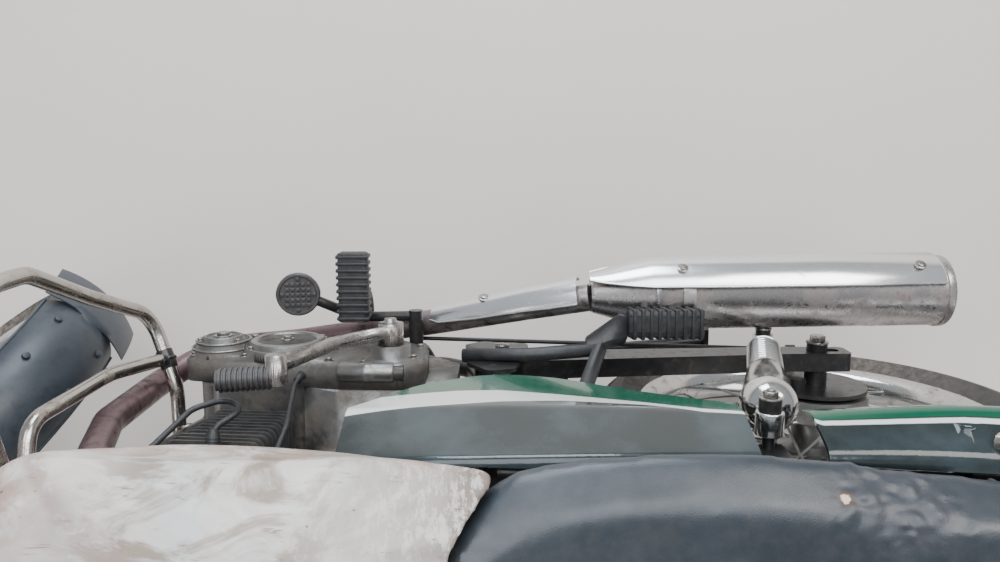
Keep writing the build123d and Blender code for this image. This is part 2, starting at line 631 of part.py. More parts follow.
with BuildPart() as cover_form:
    loft([body_section(*row, (10, 40, 10)) for row in COVER_SECTIONS])
with BuildPart() as cover_room:
    room_rows = panel_room(COVER_SECTIONS)
    room_rows[0] = (room_rows[0][0] - 1, *room_rows[0][1:])
    room_rows[-1] = (room_rows[-1][0] + 1, *room_rows[-1][1:])
    loft([body_section(*row, (10, 40, 8)) for row in room_rows])
with BuildPart() as cover_pegs:
    for x, height in [(423, 570), (280, 700)]:
        add_bar((x, RAIL_SPREAD + 5, height), (x, 150, height), 6)
    mirror(about=Plane.XZ)
    add(cover_form.part, mode=Mode.INTERSECT)
    add(main_frame.part, mode=Mode.SUBTRACT)
with BuildPart() as side_covers:
    add(cover_form.part)
    add(cover_room.part, mode=Mode.SUBTRACT)
    with BuildSketch(side_plane(200)):
        with BuildLine():
            FilletPolyline(*COVER_OUTLINE, radius=[10, 3, 3, 8, 30, 60, 90, 90, 90], close=True)
        make_face()
    extrude(amount=400, mode=Mode.INTERSECT)
    with BuildSketch(Plane.XY.offset(400)):
        with Locations((400, 0)):
            Rectangle(460, 2 * COVER_LIP)
    extrude(amount=400, mode=Mode.SUBTRACT)
    add(cover_pegs.part)

with BuildPart() as cowl_form:
    loft([body_section(*row, (10, 24, 16)) for row in COWL_SECTIONS])
with BuildPart() as cowl_room:
    room_rows = panel_room(COWL_SECTIONS)
    room_rows[0] = (room_rows[0][0] + 1, *room_rows[0][1:])
    room_rows[-1] = (room_rows[-1][0] + PANEL_WALL, *room_rows[-1][1:])
    loft([body_section(*row, (10, 24, 16)) for row in room_rows])
with BuildPart() as seat_room:
    loft([body_section(x, (low[0] + SEAT_ROOM, low[1] - SEAT_ROOM), (wide[0] + SEAT_ROOM, wide[1]),
                       (top[0] + SEAT_ROOM, top[1] + SEAT_ROOM), crown + SEAT_ROOM, (6, 11, 9))
          for x, low, wide, top, crown in SEAT_SECTIONS[2:]])
    with BuildSketch(Plane.XY.offset(720)):
        with BuildLine():
            edge = [(x, low[0] + SEAT_ROOM) for x, low, *upper in SEAT_SECTIONS[3:]]
            Polyline(*edge, *[(x, -y) for x, y in reversed(edge)], close=True)
        make_face()
    extrude(amount=60)
with BuildPart() as tail_cowl:
    add(cowl_form.part)
    add(cowl_room.part, mode=Mode.SUBTRACT)
    add(seat_room.part, mode=Mode.SUBTRACT)
    for x, half, height in [(20, 140, 722), (-120, 132, 734)]:
        add_bar((x, RAIL_SPREAD - 6, height), (x, half, height), 7)
        add_bar((x, 6 - RAIL_SPREAD, height), (x, -half, height), 7)
    add(main_frame.part, mode=Mode.SUBTRACT)

# Rear mudguard, lamp, indicators and the plate bracket
GUARD_X = -5
GUARD_HEIGHT = 318
GUARD_RADIUS = 352
GUARD_HALF = 62
GUARD_WALL = 2.5
PLATE_X = -321
PLATE_HOLE_HEIGHT = 616
PLATE_HOLE_SPREAD = 80
PLATE_HOLE_RADIUS = 3.5
with BuildPart() as rear_mudguard:
    guard_axis = Axis((GUARD_X, 0, GUARD_HEIGHT), (0, 1, 0))
    with BuildSketch(wheel_plane((GUARD_X, 0, GUARD_HEIGHT), -88)):
        with BuildLine():
            outer_arc = ThreePointArc((-GUARD_HALF, GUARD_RADIUS - 34), (0, GUARD_RADIUS),
                                      (GUARD_HALF, GUARD_RADIUS - 34))
            Line((GUARD_HALF, GUARD_RADIUS - 34), (GUARD_HALF - GUARD_WALL, GUARD_RADIUS - 34))
            ThreePointArc((GUARD_HALF - GUARD_WALL, GUARD_RADIUS - 34), (0, GUARD_RADIUS - GUARD_WALL),
                          (-GUARD_HALF + GUARD_WALL, GUARD_RADIUS - 34))
            Line((-GUARD_HALF + GUARD_WALL, GUARD_RADIUS - 34), (-GUARD_HALF, GUARD_RADIUS - 34))
        make_face()
    revolve(axis=guard_axis, revolution_arc=146)
    for x, top in [(120, 713), (-60, 723)]:
        for side in [-1, 1]:
            with BuildSketch(side_plane(side * (GUARD_HALF - 1) + 1.5)):
                with Locations((x, top + 9)):
                    Rectangle(24, 110, align=(Align.CENTER, Align.MAX))
            extrude(amount=3)
            add_bar((x, side * (GUARD_HALF - 1), top), (x, side * (RAIL_SPREAD - 2), top), 7)
    with BuildSketch(Plane.YZ.offset(PLATE_X)):
        with Locations((0, PLATE_HOLE_HEIGHT + 18)):
            Rectangle(130, PLATE_HOLE_HEIGHT + 18 - 472, align=(Align.CENTER, Align.MAX))
        with Locations((-PLATE_HOLE_SPREAD / 2, PLATE_HOLE_HEIGHT), (PLATE_HOLE_SPREAD / 2, PLATE_HOLE_HEIGHT)):
            Circle(PLATE_HOLE_RADIUS, mode=Mode.SUBTRACT)
    extrude(amount=3)
    add(main_frame.part, mode=Mode.SUBTRACT)

with BuildPart() as tail_lamp:
    with BuildSketch(Plane.YZ.offset(COWL_SECTIONS[-1][0] - FIT)):
        with Locations((0, 744)):
            RectangleRounded(112, 52, 12)
    extrude(amount=-30, taper=18)
    with BuildSketch(Plane.YZ.offset(COWL_SECTIONS[-1][0] - FIT - 28)):
        with Locations((0, 744)):
            RectangleRounded(84, 28, 8)
    extrude(amount=-8)

with BuildPart() as rear_indicators:
    for side in [-1, 1]:
        add_bar((-224, side * 60, 716), (-224, side * 146, 716), 6)
        with BuildSketch(side_plane(side * 158 + 16)):
            with Locations((-224, 716)):
                RectangleRounded(56, 38, 16)
        extrude(amount=32)
    add(cowl_form.part, mode=Mode.SUBTRACT)

RAIL_LOOP = [(4, -132, 742), (-30, -134, 796), (-140, -124, 820), (-222, -84, 838), (-222, 84, 838),
             (-140, 124, 820), (-30, 134, 796), (4, 132, 742)]
with BuildPart() as grab_rail:
    add_tube(RAIL_LOOP, 8, [30, 80, 40, 40, 80, 30])
    for side in [-1, 1]:
        add_bar((-178, side * 78, 744), (-190, side * 98, 829), 7)
    add(cowl_form.part, mode=Mode.SUBTRACT)
    add(main_frame.part, mode=Mode.SUBTRACT)

# Shock absorbers: eyes, exposed spring rings, tapered upper shroud
RING_COUNT = 8
RING_PITCH = 13
with BuildPart() as shocks:
    shock_way = Vector(SHOCK_TOP) - Vector(SHOCK_FOOT)
    shock_length = shock_way.length
    shock_plane = Plane(origin=SHOCK_FOOT, x_dir=(0, 1, 0), z_dir=shock_way)
    with BuildSketch(Plane(origin=SHOCK_FOOT, x_dir=shock_plane.x_dir, z_dir=shock_plane.y_dir * -1)):
        with BuildLine():
            rings = [(radius, 60 + ring * RING_PITCH + step)
                     for ring in range(RING_COUNT) for step, radius in [(0, 17), (2, 22), (7, 22), (9, 17)]]
            Polyline((0, 0), (10, 0), (10, 48), (21, 52), (21, 57), (18, 58), *rings,
                     (22, 60 + RING_COUNT * RING_PITCH), (29, 278), (26, 296), (13, 306),
                     (13, 308), (11, 310), (11, shock_length), (0, shock_length), close=True)
        make_face()
    revolve(axis=Axis(SHOCK_FOOT, shock_way))
    for eye in [SHOCK_FOOT, SHOCK_TOP]:
        add_bar((eye[0], eye[1] - 12 + FIT, eye[2]), (eye[0], eye[1] + 12 - FIT, eye[2]), 14)
        cut_bar((eye[0], eye[1] - 30, eye[2]), (eye[0], eye[1] + 30, eye[2]), SHOCK_STUD + RUN)
    mirror(about=Plane.XZ)

# Footrest bar with its rubbers, rear pegs folded back on tubular brackets
PEG_X = 640
PEG_HEIGHT = 292
BAR_RADIUS = 11
with BuildPart() as footrests:
    bar_height = CRADLE_HEIGHT - RAIL_RADIUS - BAR_RADIUS - FIT
    add_tube([(PEG_X, -174, PEG_HEIGHT), (PEG_X, -172, bar_height), (PEG_X, 172, bar_height),
              (PEG_X, 174, PEG_HEIGHT)], BAR_RADIUS, 38)
    for side in [-1, 1]:
        add_bar((PEG_X, side * 150, PEG_HEIGHT), (PEG_X, side * 238, PEG_HEIGHT), 8)
        with BuildSketch(Plane(origin=(PEG_X, side * 146, PEG_HEIGHT), x_dir=(1, 0, 0), z_dir=(0, side, 0))):
            RectangleRounded(42, 26, 9)
        extrude(amount=94)

with BuildPart() as passenger_pegs:
    add_tube([(486, 118, 380), (400, 123, 396), (312, 132, 402)], 9, 200)
    add_tube([(356, 94, 690), (350, 100, 600), (342, 102, 500), (312, 132, 402)], 9, [200, 120])
    with BuildSketch(Plane.XY.offset(396)):
        with BuildLine():
            FilletPolyline((330, 124), (330, 146), (286, 178), (270, 170), (280, 140), radius=6, close=True)
        make_face()
    extrude(amount=9)
    with BuildSketch(Plane(origin=(276, 165, 400), x_dir=(0, 1, 0), z_dir=(-1, 0, 0))):
        RectangleRounded(36, 24, 9)
    extrude(amount=92)
    mirror(about=Plane.XZ)
    add(main_frame.part, mode=Mode.SUBTRACT)

# Levers: kick starter with its folded pedal, brake pedal and rod, gear lever
with BuildPart() as kick_lever:
    add_bar((KICK_X, COVER_FACE - 4, KICK_HEIGHT), (KICK_X, COVER_FACE - 48, KICK_HEIGHT),
            KICK_SHAFT_RADIUS)
    add_bar((KICK_X, COVER_FACE - 14 - FIT, KICK_HEIGHT), (KICK_X, COVER_FACE - 42, KICK_HEIGHT), 17)
    add_tube([(KICK_X, -148, KICK_HEIGHT), (640, -150, 450), (690, -140, 520)], 8.5, 120)
    add_bar((690, -154, 520), (690, -120, 520), 12)
    add_bar((690, -128, 520), (756, -126, 528), 11)

with BuildPart() as brake_pedal:
    add_bar(BRAKE_PIVOT + Vector(0, -100 - FIT, 0), BRAKE_PIVOT + Vector(0, -158, 0), 10)
    add_tube([BRAKE_PIVOT + Vector(0, -150, 0), (640, -146, 264), (717, -184, 288)], 7, 60)
    with BuildSketch(Plane(origin=(717, -184, 290), x_dir=(1, 0, 0), z_dir=(-0.15, 0, 1))):
        Ellipse(30, 27)
    extrude(amount=9)
    with BuildSketch(side_plane(-99.3)):
        with BuildLine():
            FilletPolyline((546, 280), (568, 280), (571, 226), (554, 226), radius=6, close=True)
        make_face()
        with Locations((ROD_END.X, ROD_END.Z)):
            Circle(ROD_RADIUS + RUN, mode=Mode.SUBTRACT)
    extrude(amount=6)
    cut_bar(BRAKE_PIVOT, BRAKE_PIVOT + Vector(0, -170, 0), BRAKE_PIN + RUN)

GEAR_X = 600
GEAR_HEIGHT = 268
with BuildPart() as gear_lever:
    add_bar((GEAR_X, ENGINE_LEFT + 26 + 2 * FIT, GEAR_HEIGHT), (GEAR_X, 150, GEAR_HEIGHT), 8)
    add_tube([(478, 160, 318), (540, 146, 266), (GEAR_X, 145, GEAR_HEIGHT - 4), (670, 146, 262),
              (745, 160, 304)], 7, [40, 300, 60])
    add_bar((478, 152, 318), (478, 194, 318), 11)
    add_bar((745, 152, 304), (745, 198, 304), 11)

# Leg guard: side loops and their braces to the down tube
GUARD_TUBE = 9.5
GUARD_LOOP = [(876, 60, 334), (914, 158, 312), (934, 205, 440), (946, 250, 550), (952, 246, 628),
              (950, 120, 642), (942, 12, 616)]
GUARD_BENDS = [60, 40, 120, 60, 40, 60]
with BuildPart() as leg_guard:
    add_tube([(x, -y, z) for x, y, z in reversed(GUARD_LOOP)] + GUARD_LOOP, GUARD_TUBE,
             GUARD_BENDS[::-1] + GUARD_BENDS)
    for side in [-1, 1]:
        add_tube([(893, side * 100, 326), (926, side * 104, 420), (952, side * 88, 560), (944, side * 10, 596)],
                 GUARD_TUBE - 0.5, [120, 40])
    add_bar((942, -17, 610), (942, 17, 610), GUARD_TUBE + 3)
    add_bar((876, 0, 334), (850, 0, 336), 12)
    add_bar((942, 0, 610), (906, 0, 612), 11)
    add(main_frame.part, mode=Mode.SUBTRACT)

CASE_INNER = 53
CASE_OUTER = 79
CASE_FRONT_X = 392
with BuildPart() as chain_case:
    with BuildSketch(side_plane(CASE_OUTER)):
        with BuildLine():
            FilletPolyline((CASE_FRONT_X, 296), (CASE_FRONT_X, 384), (0, REAR_TYRE_RADIUS + 96),
                           (-96, REAR_TYRE_RADIUS + 96), (-96, REAR_TYRE_RADIUS - 96),
                           (0, REAR_TYRE_RADIUS - 96),
                           radius=[14, 14, 30, 92, 92, 30], close=True)
        make_face()
        with Locations((0, REAR_TYRE_RADIUS)):
            Circle(24, mode=Mode.SUBTRACT)
    extrude(amount=CASE_OUTER - CASE_INNER)
    fillet(edges().filter_by(GeomType.CIRCLE).group_by(Axis.Y)[-1].sort_by(SortBy.RADIUS)[-1], 3)
    for x, height in [(300, 335), (130, 320)]:
        add_bar((x, CASE_OUTER - 2, height), (x, ARM_INNER - FIT, height), 8)

# Rear axle with brake plate, cam lever and spacers
with BuildPart() as rear_brake:
    add_bar((0, -126, REAR_TYRE_RADIUS), (0, 126, REAR_TYRE_RADIUS), AXLE_RADIUS)
    for start, end, radius in [
        (-54 - FIT * 2, -60, 68), (-60, -ARM_INNER + FIT, 15), (48 + FIT * 2, ARM_INNER - FIT, 14),
        (ARM_OUTER + FIT, 118, 14), (-ARM_OUTER - FIT, -118, 14),
    ]:
        add_bar((0, start, REAR_TYRE_RADIUS), (0, end, REAR_TYRE_RADIUS), radius)
    add_bar((34, -58, 332), (34, -74, 332), 10)
    with BuildSketch(side_plane(-66)):
        with BuildLine():
            FilletPolyline((24, 340), (44, 340), (30, 228), (16, 228), radius=6, close=True)
        make_face()
    extrude(amount=6)
    add_bar((23, -68, 238), (23, -94, 240), 6)
    add_bar((8, -92, 239), ROD_END + Vector(0, -108.6, 0), ROD_RADIUS)
    add_bar(ROD_END + Vector(0, -111.6, 0), ROD_END + Vector(0, -96, 0), ROD_RADIUS)
    add_bar((8, -92, 239), (20, -92, 239), 7)

# Fork legs, yokes with the stem, handlebar and its controls
HEAD_TOP = HEAD_FOOT + HEAD_LENGTH
LEG_LENGTH = 330
with BuildPart() as fork_legs:
    for side in [-1, 1]:
        foot = head_point(AXLE_ALONG - 26, FORK_OFFSET, side * FORK_SPREAD)
        shoulder = head_point(AXLE_ALONG + LEG_LENGTH, FORK_OFFSET, side * FORK_SPREAD)
        top = head_point(HEAD_TOP + TOP_YOKE_THICK + 6, FORK_OFFSET, side * FORK_SPREAD)
        add_bar(foot, shoulder, FORK_LEG_RADIUS)
        add_bar(shoulder, top, FORK_TUBE_RADIUS)
        cut_bar(FRONT_AXLE + Vector(0, side * 20, 0), FRONT_AXLE + Vector(0, side * 140, 0), AXLE_RADIUS + RUN)


def yoke_plane(along):
    return Plane(origin=head_point(along), x_dir=HEAD.x_dir, z_dir=HEAD.z_dir)


with BuildPart() as yokes:
    for along, thick in [(HEAD_FOOT - FIT - YOKE_THICK, YOKE_THICK), (HEAD_TOP + FIT, TOP_YOKE_THICK)]:
        with BuildSketch(yoke_plane(along)):
            with BuildLine():
                FilletPolyline((-20, -17), (-20, 17), (FORK_OFFSET - 22, FORK_SPREAD + 24),
                               (FORK_OFFSET + 24, FORK_SPREAD + 24), (FORK_OFFSET + 24, FORK_SPREAD - 22),
                               (24, 30), (24, -30), (FORK_OFFSET + 24, -FORK_SPREAD + 22),
                               (FORK_OFFSET + 24, -FORK_SPREAD - 24), (FORK_OFFSET - 22, -FORK_SPREAD - 24),
                               radius=[12, 12, 16, 20, 14, 10, 10, 14, 20, 16], close=True)
            make_face()
        extrude(amount=thick)
    add_bar(head_point(HEAD_FOOT - 10), head_point(HEAD_TOP + TOP_YOKE_THICK + 4), STEM_RADIUS)
    for side in [-1, 1]:
        with BuildSketch(yoke_plane(HEAD_FOOT - FIT - 4)):
            with PolarLocations(STOP_RADIUS, 1, start_angle=side * (180 - STEER_LOCK - STOP_ANGLE)):
                Rectangle(7, STOP_WIDTH)
        extrude(amount=4 + STOP_HEIGHT)
    for side in [-1, 1]:
        add_bar(head_point(HEAD_TOP + 8, 8, side * 40), head_point(HEAD_TOP + 46, 8, side * 40), 13)
    add(fork_legs.part, mode=Mode.SUBTRACT)

BAR_ROUTE = [(8, 60, HEAD_TOP + 46), (0, 130, HEAD_TOP + 150), (-20, 205, HEAD_TOP + 190),
             (-88, 366, HEAD_TOP + 182)]
with BuildPart() as handlebar:
    add_tube([head_point(along, forward, -left) for forward, left, along in reversed(BAR_ROUTE)]
             + [head_point(along, forward, left) for forward, left, along in BAR_ROUTE],
             BAR_RADIUS, [60, 60, 40, 40, 60, 60])
    add(yokes.part, mode=Mode.SUBTRACT)

with BuildPart() as hand_controls:
    for side in [-1, 1]:
        grip_start = head_point(HEAD_TOP + 188.6, -36, side * 243)
        grip_end = head_point(HEAD_TOP + 182, -89.5, side * 369)
        perch_start = head_point(HEAD_TOP + 189.4, -28, side * 224)
        add_bar(grip_start, grip_end, 16.5)
        add_bar(perch_start, grip_start, 20)
        lever_foot = head_point(HEAD_TOP + 186, 16, side * 232)
        add_bar(perch_start + (grip_start - perch_start) * 0.5, lever_foot, 9)
        add_tube([lever_foot, head_point(HEAD_TOP + 182, 6, side * 290),
                  head_point(HEAD_TOP + 178, -24, side * 378)], 6, 100)
        mirror_neck = head_point(HEAD_TOP + 236, 12, side * 246)
        mirror_head = head_point(HEAD_TOP + 282, -6, side * 300)
        add_tube([perch_start + (grip_start - perch_start) * 0.5, mirror_neck, mirror_head], 5, 40)
        with BuildSketch(Plane(origin=mirror_head, x_dir=(0, 1, 0), z_dir=(1, 0, 0.1))):
            RectangleRounded(118, 82, 30)
        extrude(amount=18)
    add(handlebar.part, mode=Mode.SUBTRACT)

# Headlamp in its cowl, instruments, front indicators
LAMP_HEIGHT = 838
LAMP_X = HEAD.origin.X - 269
with BuildPart() as headlamp_cowl:
    with BuildSketch(Plane.YZ.offset(LAMP_X - 80)):
        with Locations((0, 850)):
            RectangleRounded(176, 150, 40)
    with BuildSketch(Plane.YZ.offset(LAMP_X - 36)):
        with Locations((0, 846)):
            RectangleRounded(184, 160, 46)
    with BuildSketch(Plane.YZ.offset(LAMP_X)):
        with Locations((0, LAMP_HEIGHT)):
            RectangleRounded(158, 146, 60)
    loft()
    for side in [-1, 1]:
        for height in [850, 800]:
            add_bar((LAMP_X - 102, side * 80, height), (LAMP_X - 74, side * 76, height), 9)
    add(fork_legs.part, mode=Mode.SUBTRACT)
    add(yokes.part, mode=Mode.SUBTRACT)

with BuildPart() as headlamp:
    with BuildSketch(Plane.YZ.offset(LAMP_X + FIT)):
        with Locations((0, LAMP_HEIGHT)):
            Circle(68)
    extrude(amount=14, taper=20)

with BuildPart() as instruments:
    with BuildSketch(yoke_plane(HEAD_TOP + FIT + TOP_YOKE_THICK + FIT)):
        with Locations((62, 0)):
            RectangleRounded(56, 100, 10)
    extrude(amount=20)
    with BuildSketch(yoke_plane(HEAD_TOP + TOP_YOKE_THICK + 16)):
        with Locations((68, 0)):
            RectangleRounded(80, 180, 26)
    extrude(amount=42, taper=6)
    add(handlebar.part, mode=Mode.SUBTRACT)
    add(fork_legs.part, mode=Mode.SUBTRACT)

with BuildPart() as front_indicators:
    for side in [-1, 1]:
        add_bar((LAMP_X - 56, side * 60, 812), (LAMP_X - 56, side * 150, 812), 6)
        with BuildSketch(side_plane(side * 162 + 16)):
            with Locations((LAMP_X - 56, 812)):
                RectangleRounded(56, 38, 16)
        extrude(amount=32)
    add(headlamp_cowl.part, mode=Mode.SUBTRACT)

# Front mudguard with its wide flap, and the front axle with brake plate
FENDER_RADIUS = 324
FENDER_HALF = 58
FENDER_WALL = 2.5
with BuildPart() as front_mudguard:
    for start, arc, half, rise in [(-92, 146, FENDER_HALF, 30), (-107, 17, 68, 16)]:
        crown = FENDER_RADIUS + (1.5 if arc < 20 else 0)
        with BuildSketch(wheel_plane(FRONT_AXLE, start)):
            with BuildLine():
                ThreePointArc((-half, crown - rise), (0, crown), (half, crown - rise))
                Line((half, crown - rise), (half - FENDER_WALL, crown - rise))
                ThreePointArc((half - FENDER_WALL, crown - rise), (0, crown - FENDER_WALL),
                              (-half + FENDER_WALL, crown - rise))
                Line((-half + FENDER_WALL, crown - rise), (-half, crown - rise))
            make_face()
        revolve(axis=axle_axis(FRONT_AXLE), revolution_arc=arc)
    for side in [-1, 1]:
        boss = head_point(AXLE_ALONG + 296, FORK_OFFSET, 0)
        add_bar(boss + Vector(0, side * (FENDER_HALF - 2), 0), boss + Vector(0, side * (FORK_SPREAD - 10), 0), 11)
    add(fork_legs.part, mode=Mode.SUBTRACT)

with BuildPart() as front_brake:
    fork_inner = FORK_SPREAD - FORK_LEG_RADIUS
    fork_outer = FORK_SPREAD + FORK_LEG_RADIUS
    add_bar(FRONT_AXLE - Vector(0, 124, 0), FRONT_AXLE + Vector(0, 124, 0), AXLE_RADIUS)
    for start, end, radius in [
        (-42 - 2 * FIT, -48, 63), (-48, -fork_inner + FIT, 15), (42 + 2 * FIT, fork_inner - FIT, 14),
        (fork_outer + FIT, 118, 13), (-fork_outer - FIT, -118, 13),
    ]:
        add_bar(FRONT_AXLE + Vector(0, start, 0), FRONT_AXLE + Vector(0, end, 0), radius)

# Stands: the side stand on the ground, the centre stand folded
STAND_RADIUS = 9
with BuildPart() as side_stand:
    stand_way = (SIDE_STAND_FOOT - SIDE_STAND_PIVOT).normalized()
    add_bar(SIDE_STAND_PIVOT + SIDE_STAND_AXIS * SIDE_BOSS, SIDE_STAND_PIVOT - SIDE_STAND_AXIS * SIDE_BOSS, 15)
    add_bar(SIDE_STAND_PIVOT + stand_way * 8, SIDE_STAND_FOOT - stand_way * 11, STAND_RADIUS)
    with BuildSketch(GROUND):
        with Locations((532, 280)):
            RectangleRounded(74, 46, 12)
    extrude(amount=7)
    cut_bar(SIDE_STAND_PIVOT + SIDE_STAND_AXIS * 20, SIDE_STAND_PIVOT - SIDE_STAND_AXIS * 20, 6 + RUN)

CENTRE_FOOT = Vector(132, 0, 180)
with BuildPart() as centre_stand:
    add_bar(CENTRE_STAND_PIVOT - Vector(0, 92, 0), CENTRE_STAND_PIVOT + Vector(0, 92, 0), 13)
    for side in [-1, 1]:
        add_bar(CENTRE_STAND_PIVOT + Vector(0, side * 80, 0), CENTRE_FOOT + Vector(0, side * 90, 0), 10)
        shoe = CENTRE_FOOT + Vector(0, side * 92, 0)
        with BuildSketch(Plane(origin=shoe, x_dir=(0, 1, 0), z_dir=(-1, 0, -0.2))):
            RectangleRounded(46, 30, 6)
        extrude(amount=7)
    add_bar((345, -84, 228), (345, 84, 228), 8)
    add_bar((170, 90, 190), (150, 138, 196), 8)
    cut_bar(CENTRE_STAND_PIVOT - Vector(0, 130, 0), CENTRE_STAND_PIVOT + Vector(0, 130, 0), 6 + RUN)

# Stance: steered pieces turn about the head, then everything leans and stands centred
ROOT_PIECES = {
    "main_frame": main_frame, "swing_arm": swing_arm, "engine_case": engine_case,
    "clutch_cover": clutch_cover, "magneto_cover": magneto_cover, "cylinder": cylinder,
    "intake": intake, "cables": cables, "exhaust_pipe": exhaust_pipe, "silencer": silencer,
    "heat_shields": heat_shields, "fuel_tank": fuel_tank, "filler_cap": filler_cap, "seat": seat,
    "side_covers": side_covers, "tail_cowl": tail_cowl, "rear_mudguard": rear_mudguard,
    "tail_lamp": tail_lamp, "rear_indicators": rear_indicators, "grab_rail": grab_rail,
    "shocks": shocks, "footrests": footrests, "passenger_pegs": passenger_pegs,
    "kick_lever": kick_lever, "brake_pedal": brake_pedal, "gear_lever": gear_lever,
    "leg_guard": leg_guard, "chain_case": chain_case, "rear_brake": rear_brake,
    "side_stand": side_stand, "centre_stand": centre_stand,
    "rear_tyre": rear_tyre, "rear_rim": rear_rim, "rear_hub": rear_hub,
}
STEERED_PIECES = {
    "fork_legs": fork_legs, "yokes": yokes, "handlebar": handlebar, "hand_controls": hand_controls,
    "headlamp_cowl": headlamp_cowl, "headlamp": headlamp, "instruments": instruments,
    "front_indicators": front_indicators, "front_mudguard": front_mudguard, "front_brake": front_brake,
    "front_tyre": front_tyre, "front_rim": front_rim, "front_hub": front_hub,
}
stance = {name: piece.part for name, piece in ROOT_PIECES.items()}
for name, piece in STEERED_PIECES.items():
    stance[name] = piece.part.rotate(STEERING_AXIS, STEER_LOCK)
stance = {name: shape.rotate(Axis.X, -LEAN) for name, shape in stance.items()}
boxes = [shape.bounding_box() for shape in stance.values()]
lowest = Vector(*[min(corner) for corner in zip(*[tuple(box.min) for box in boxes])])
highest = Vector(*[max(corner) for corner in zip(*[tuple(box.max) for box in boxes])])
to_origin = Vector(-(lowest.X + highest.X) / 2, -(lowest.Y + highest.Y) / 2, GROUND_SHIFT)
for name, shape in stance.items():
    placed = shape.translate(to_origin)
    placed.label = name
    export_step(placed, f"parts/{name}.step")


def parked(point, steered=False):
    """Where a point of the upright machine ends up in the parked one."""
    point = Vector(point)
    if steered:
        point = Vector(point - STEERING_AXIS.position).rotate(
            Axis((0, 0, 0), STEERING_AXIS.direction), STEER_LOCK) + STEERING_AXIS.position
    return point.rotate(Axis.X, -LEAN) + to_origin


for label, point, way, steered in [
    ("rear_wheel", REAR_AXLE, Vector(0, 1, 0), False),
    ("steering", head_point(HEAD_FOOT), HEAD.z_dir, False),
    ("front_wheel", FRONT_AXLE, Vector(0, 1, 0), True),
    ("side_stand", SIDE_STAND_PIVOT, SIDE_STAND_AXIS, False),
    ("centre_stand", CENTRE_STAND_PIVOT, Vector(0, 1, 0), False),
]:
    place = parked(point, steered)
    direction = parked(point + way, steered) - place
    print(label, [round(c, 3) for c in place], [round(c, 6) for c in direction])
print("span", lowest + to_origin, highest + to_origin)
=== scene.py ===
"""Dressed visual model of the commuter motorcycle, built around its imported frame."""

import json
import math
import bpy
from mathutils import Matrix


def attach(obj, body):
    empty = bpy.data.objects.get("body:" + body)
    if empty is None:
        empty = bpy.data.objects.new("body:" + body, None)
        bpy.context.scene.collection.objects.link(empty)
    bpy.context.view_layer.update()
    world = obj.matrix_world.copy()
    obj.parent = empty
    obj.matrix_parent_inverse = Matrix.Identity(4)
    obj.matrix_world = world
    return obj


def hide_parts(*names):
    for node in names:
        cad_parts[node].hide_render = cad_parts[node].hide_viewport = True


bl_info = {
    "name": "Commuter Motorcycle Dressing",
    "version": (1, 0, 0),
    "blender": (4, 5, 0),
    "location": "View3D > Sidebar > Motorcycle",
    "description": "Tank, seat, tyres, trim and worn finishes for the commuter motorcycle",
    "category": "Object",
}

import bmesh
import bpy
from bpy.props import FloatProperty, FloatVectorProperty, IntProperty, PointerProperty
from mathutils import Matrix, Vector, noise

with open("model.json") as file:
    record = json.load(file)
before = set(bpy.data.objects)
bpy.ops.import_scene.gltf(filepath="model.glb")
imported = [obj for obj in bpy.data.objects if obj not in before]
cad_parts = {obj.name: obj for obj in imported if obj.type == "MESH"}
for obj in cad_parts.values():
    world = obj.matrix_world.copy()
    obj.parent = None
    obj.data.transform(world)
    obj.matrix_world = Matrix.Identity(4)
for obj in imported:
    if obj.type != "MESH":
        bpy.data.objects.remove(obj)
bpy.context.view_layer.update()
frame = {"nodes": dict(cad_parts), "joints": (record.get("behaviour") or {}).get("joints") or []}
JOINTS = {joint["name"]: joint for joint in frame["joints"]}

# Places: everything is drawn on the upright machine, X forward from the rear axle,
# Y to the left, Z up from the ground, and then leans, or turns with the steering
AXLE_HEIGHT = 0.305
REAR_AXLE = Vector(JOINTS["rear_wheel_spin"]["pos_m"])
AXLE_WAY = Vector(JOINTS["rear_wheel_spin"]["axis"])
LEAN = math.atan2(-AXLE_WAY.z, AXLE_WAY.y)
STEER_LOCK = math.radians(40)
MACHINE = (
    Matrix.Translation(REAR_AXLE)
    @ Matrix.Rotation(-LEAN, 4, "X")
    @ Matrix.Translation((0, 0, -AXLE_HEIGHT))
)
UPRIGHT = MACHINE.inverted()
HEAD = Vector(JOINTS["steering_turn"]["pos_m"])
STEERED = (
    Matrix.Translation(HEAD)
    @ Matrix.Rotation(STEER_LOCK, 4, Vector(JOINTS["steering_turn"]["axis"]))
    @ Matrix.Translation(-HEAD)
    @ MACHINE
)
FRONT_AXLE = STEERED.inverted() @ Vector(JOINTS["front_wheel_spin"]["pos_m"])
ORIGIN = MACHINE @ Vector((0, 0, 0))

# Steering head of the upright machine: foot of the head pipe, its axis and the way ahead of it
HEAD_FOOT = UPRIGHT @ HEAD
HEAD_UP = (UPRIGHT.to_3x3() @ Vector(JOINTS["steering_turn"]["axis"])).normalized()
HEAD_AHEAD = Vector((HEAD_UP.z, 0, -HEAD_UP.x))
HEAD_LENGTH = 0.15


def head_point(along, forward=0.0, left=0.0):
    """A point of the steering head: along its axis from the foot, ahead of it and to its left."""
    return HEAD_FOOT + HEAD_UP * along + HEAD_AHEAD * forward + Vector((0, left, 0))


# Sizes and colours that a user would change
class StageSettings(bpy.types.PropertyGroup):
    focal: FloatProperty(name="Focal length", description="Lens of the camera in millimetres", default=30.6)
    height: FloatProperty(
        name="Camera height", description="Height of the camera over the ground", default=1.5, unit="LENGTH"
    )
    tilt: FloatProperty(
        name="Camera tilt", description="Lean of the view towards the right side",
        default=math.radians(2.96), subtype="ANGLE",
    )
    floor: FloatVectorProperty(
        name="Floor", description="Colour of the floor", default=(0.62, 0.57, 0.53), subtype="COLOR"
    )


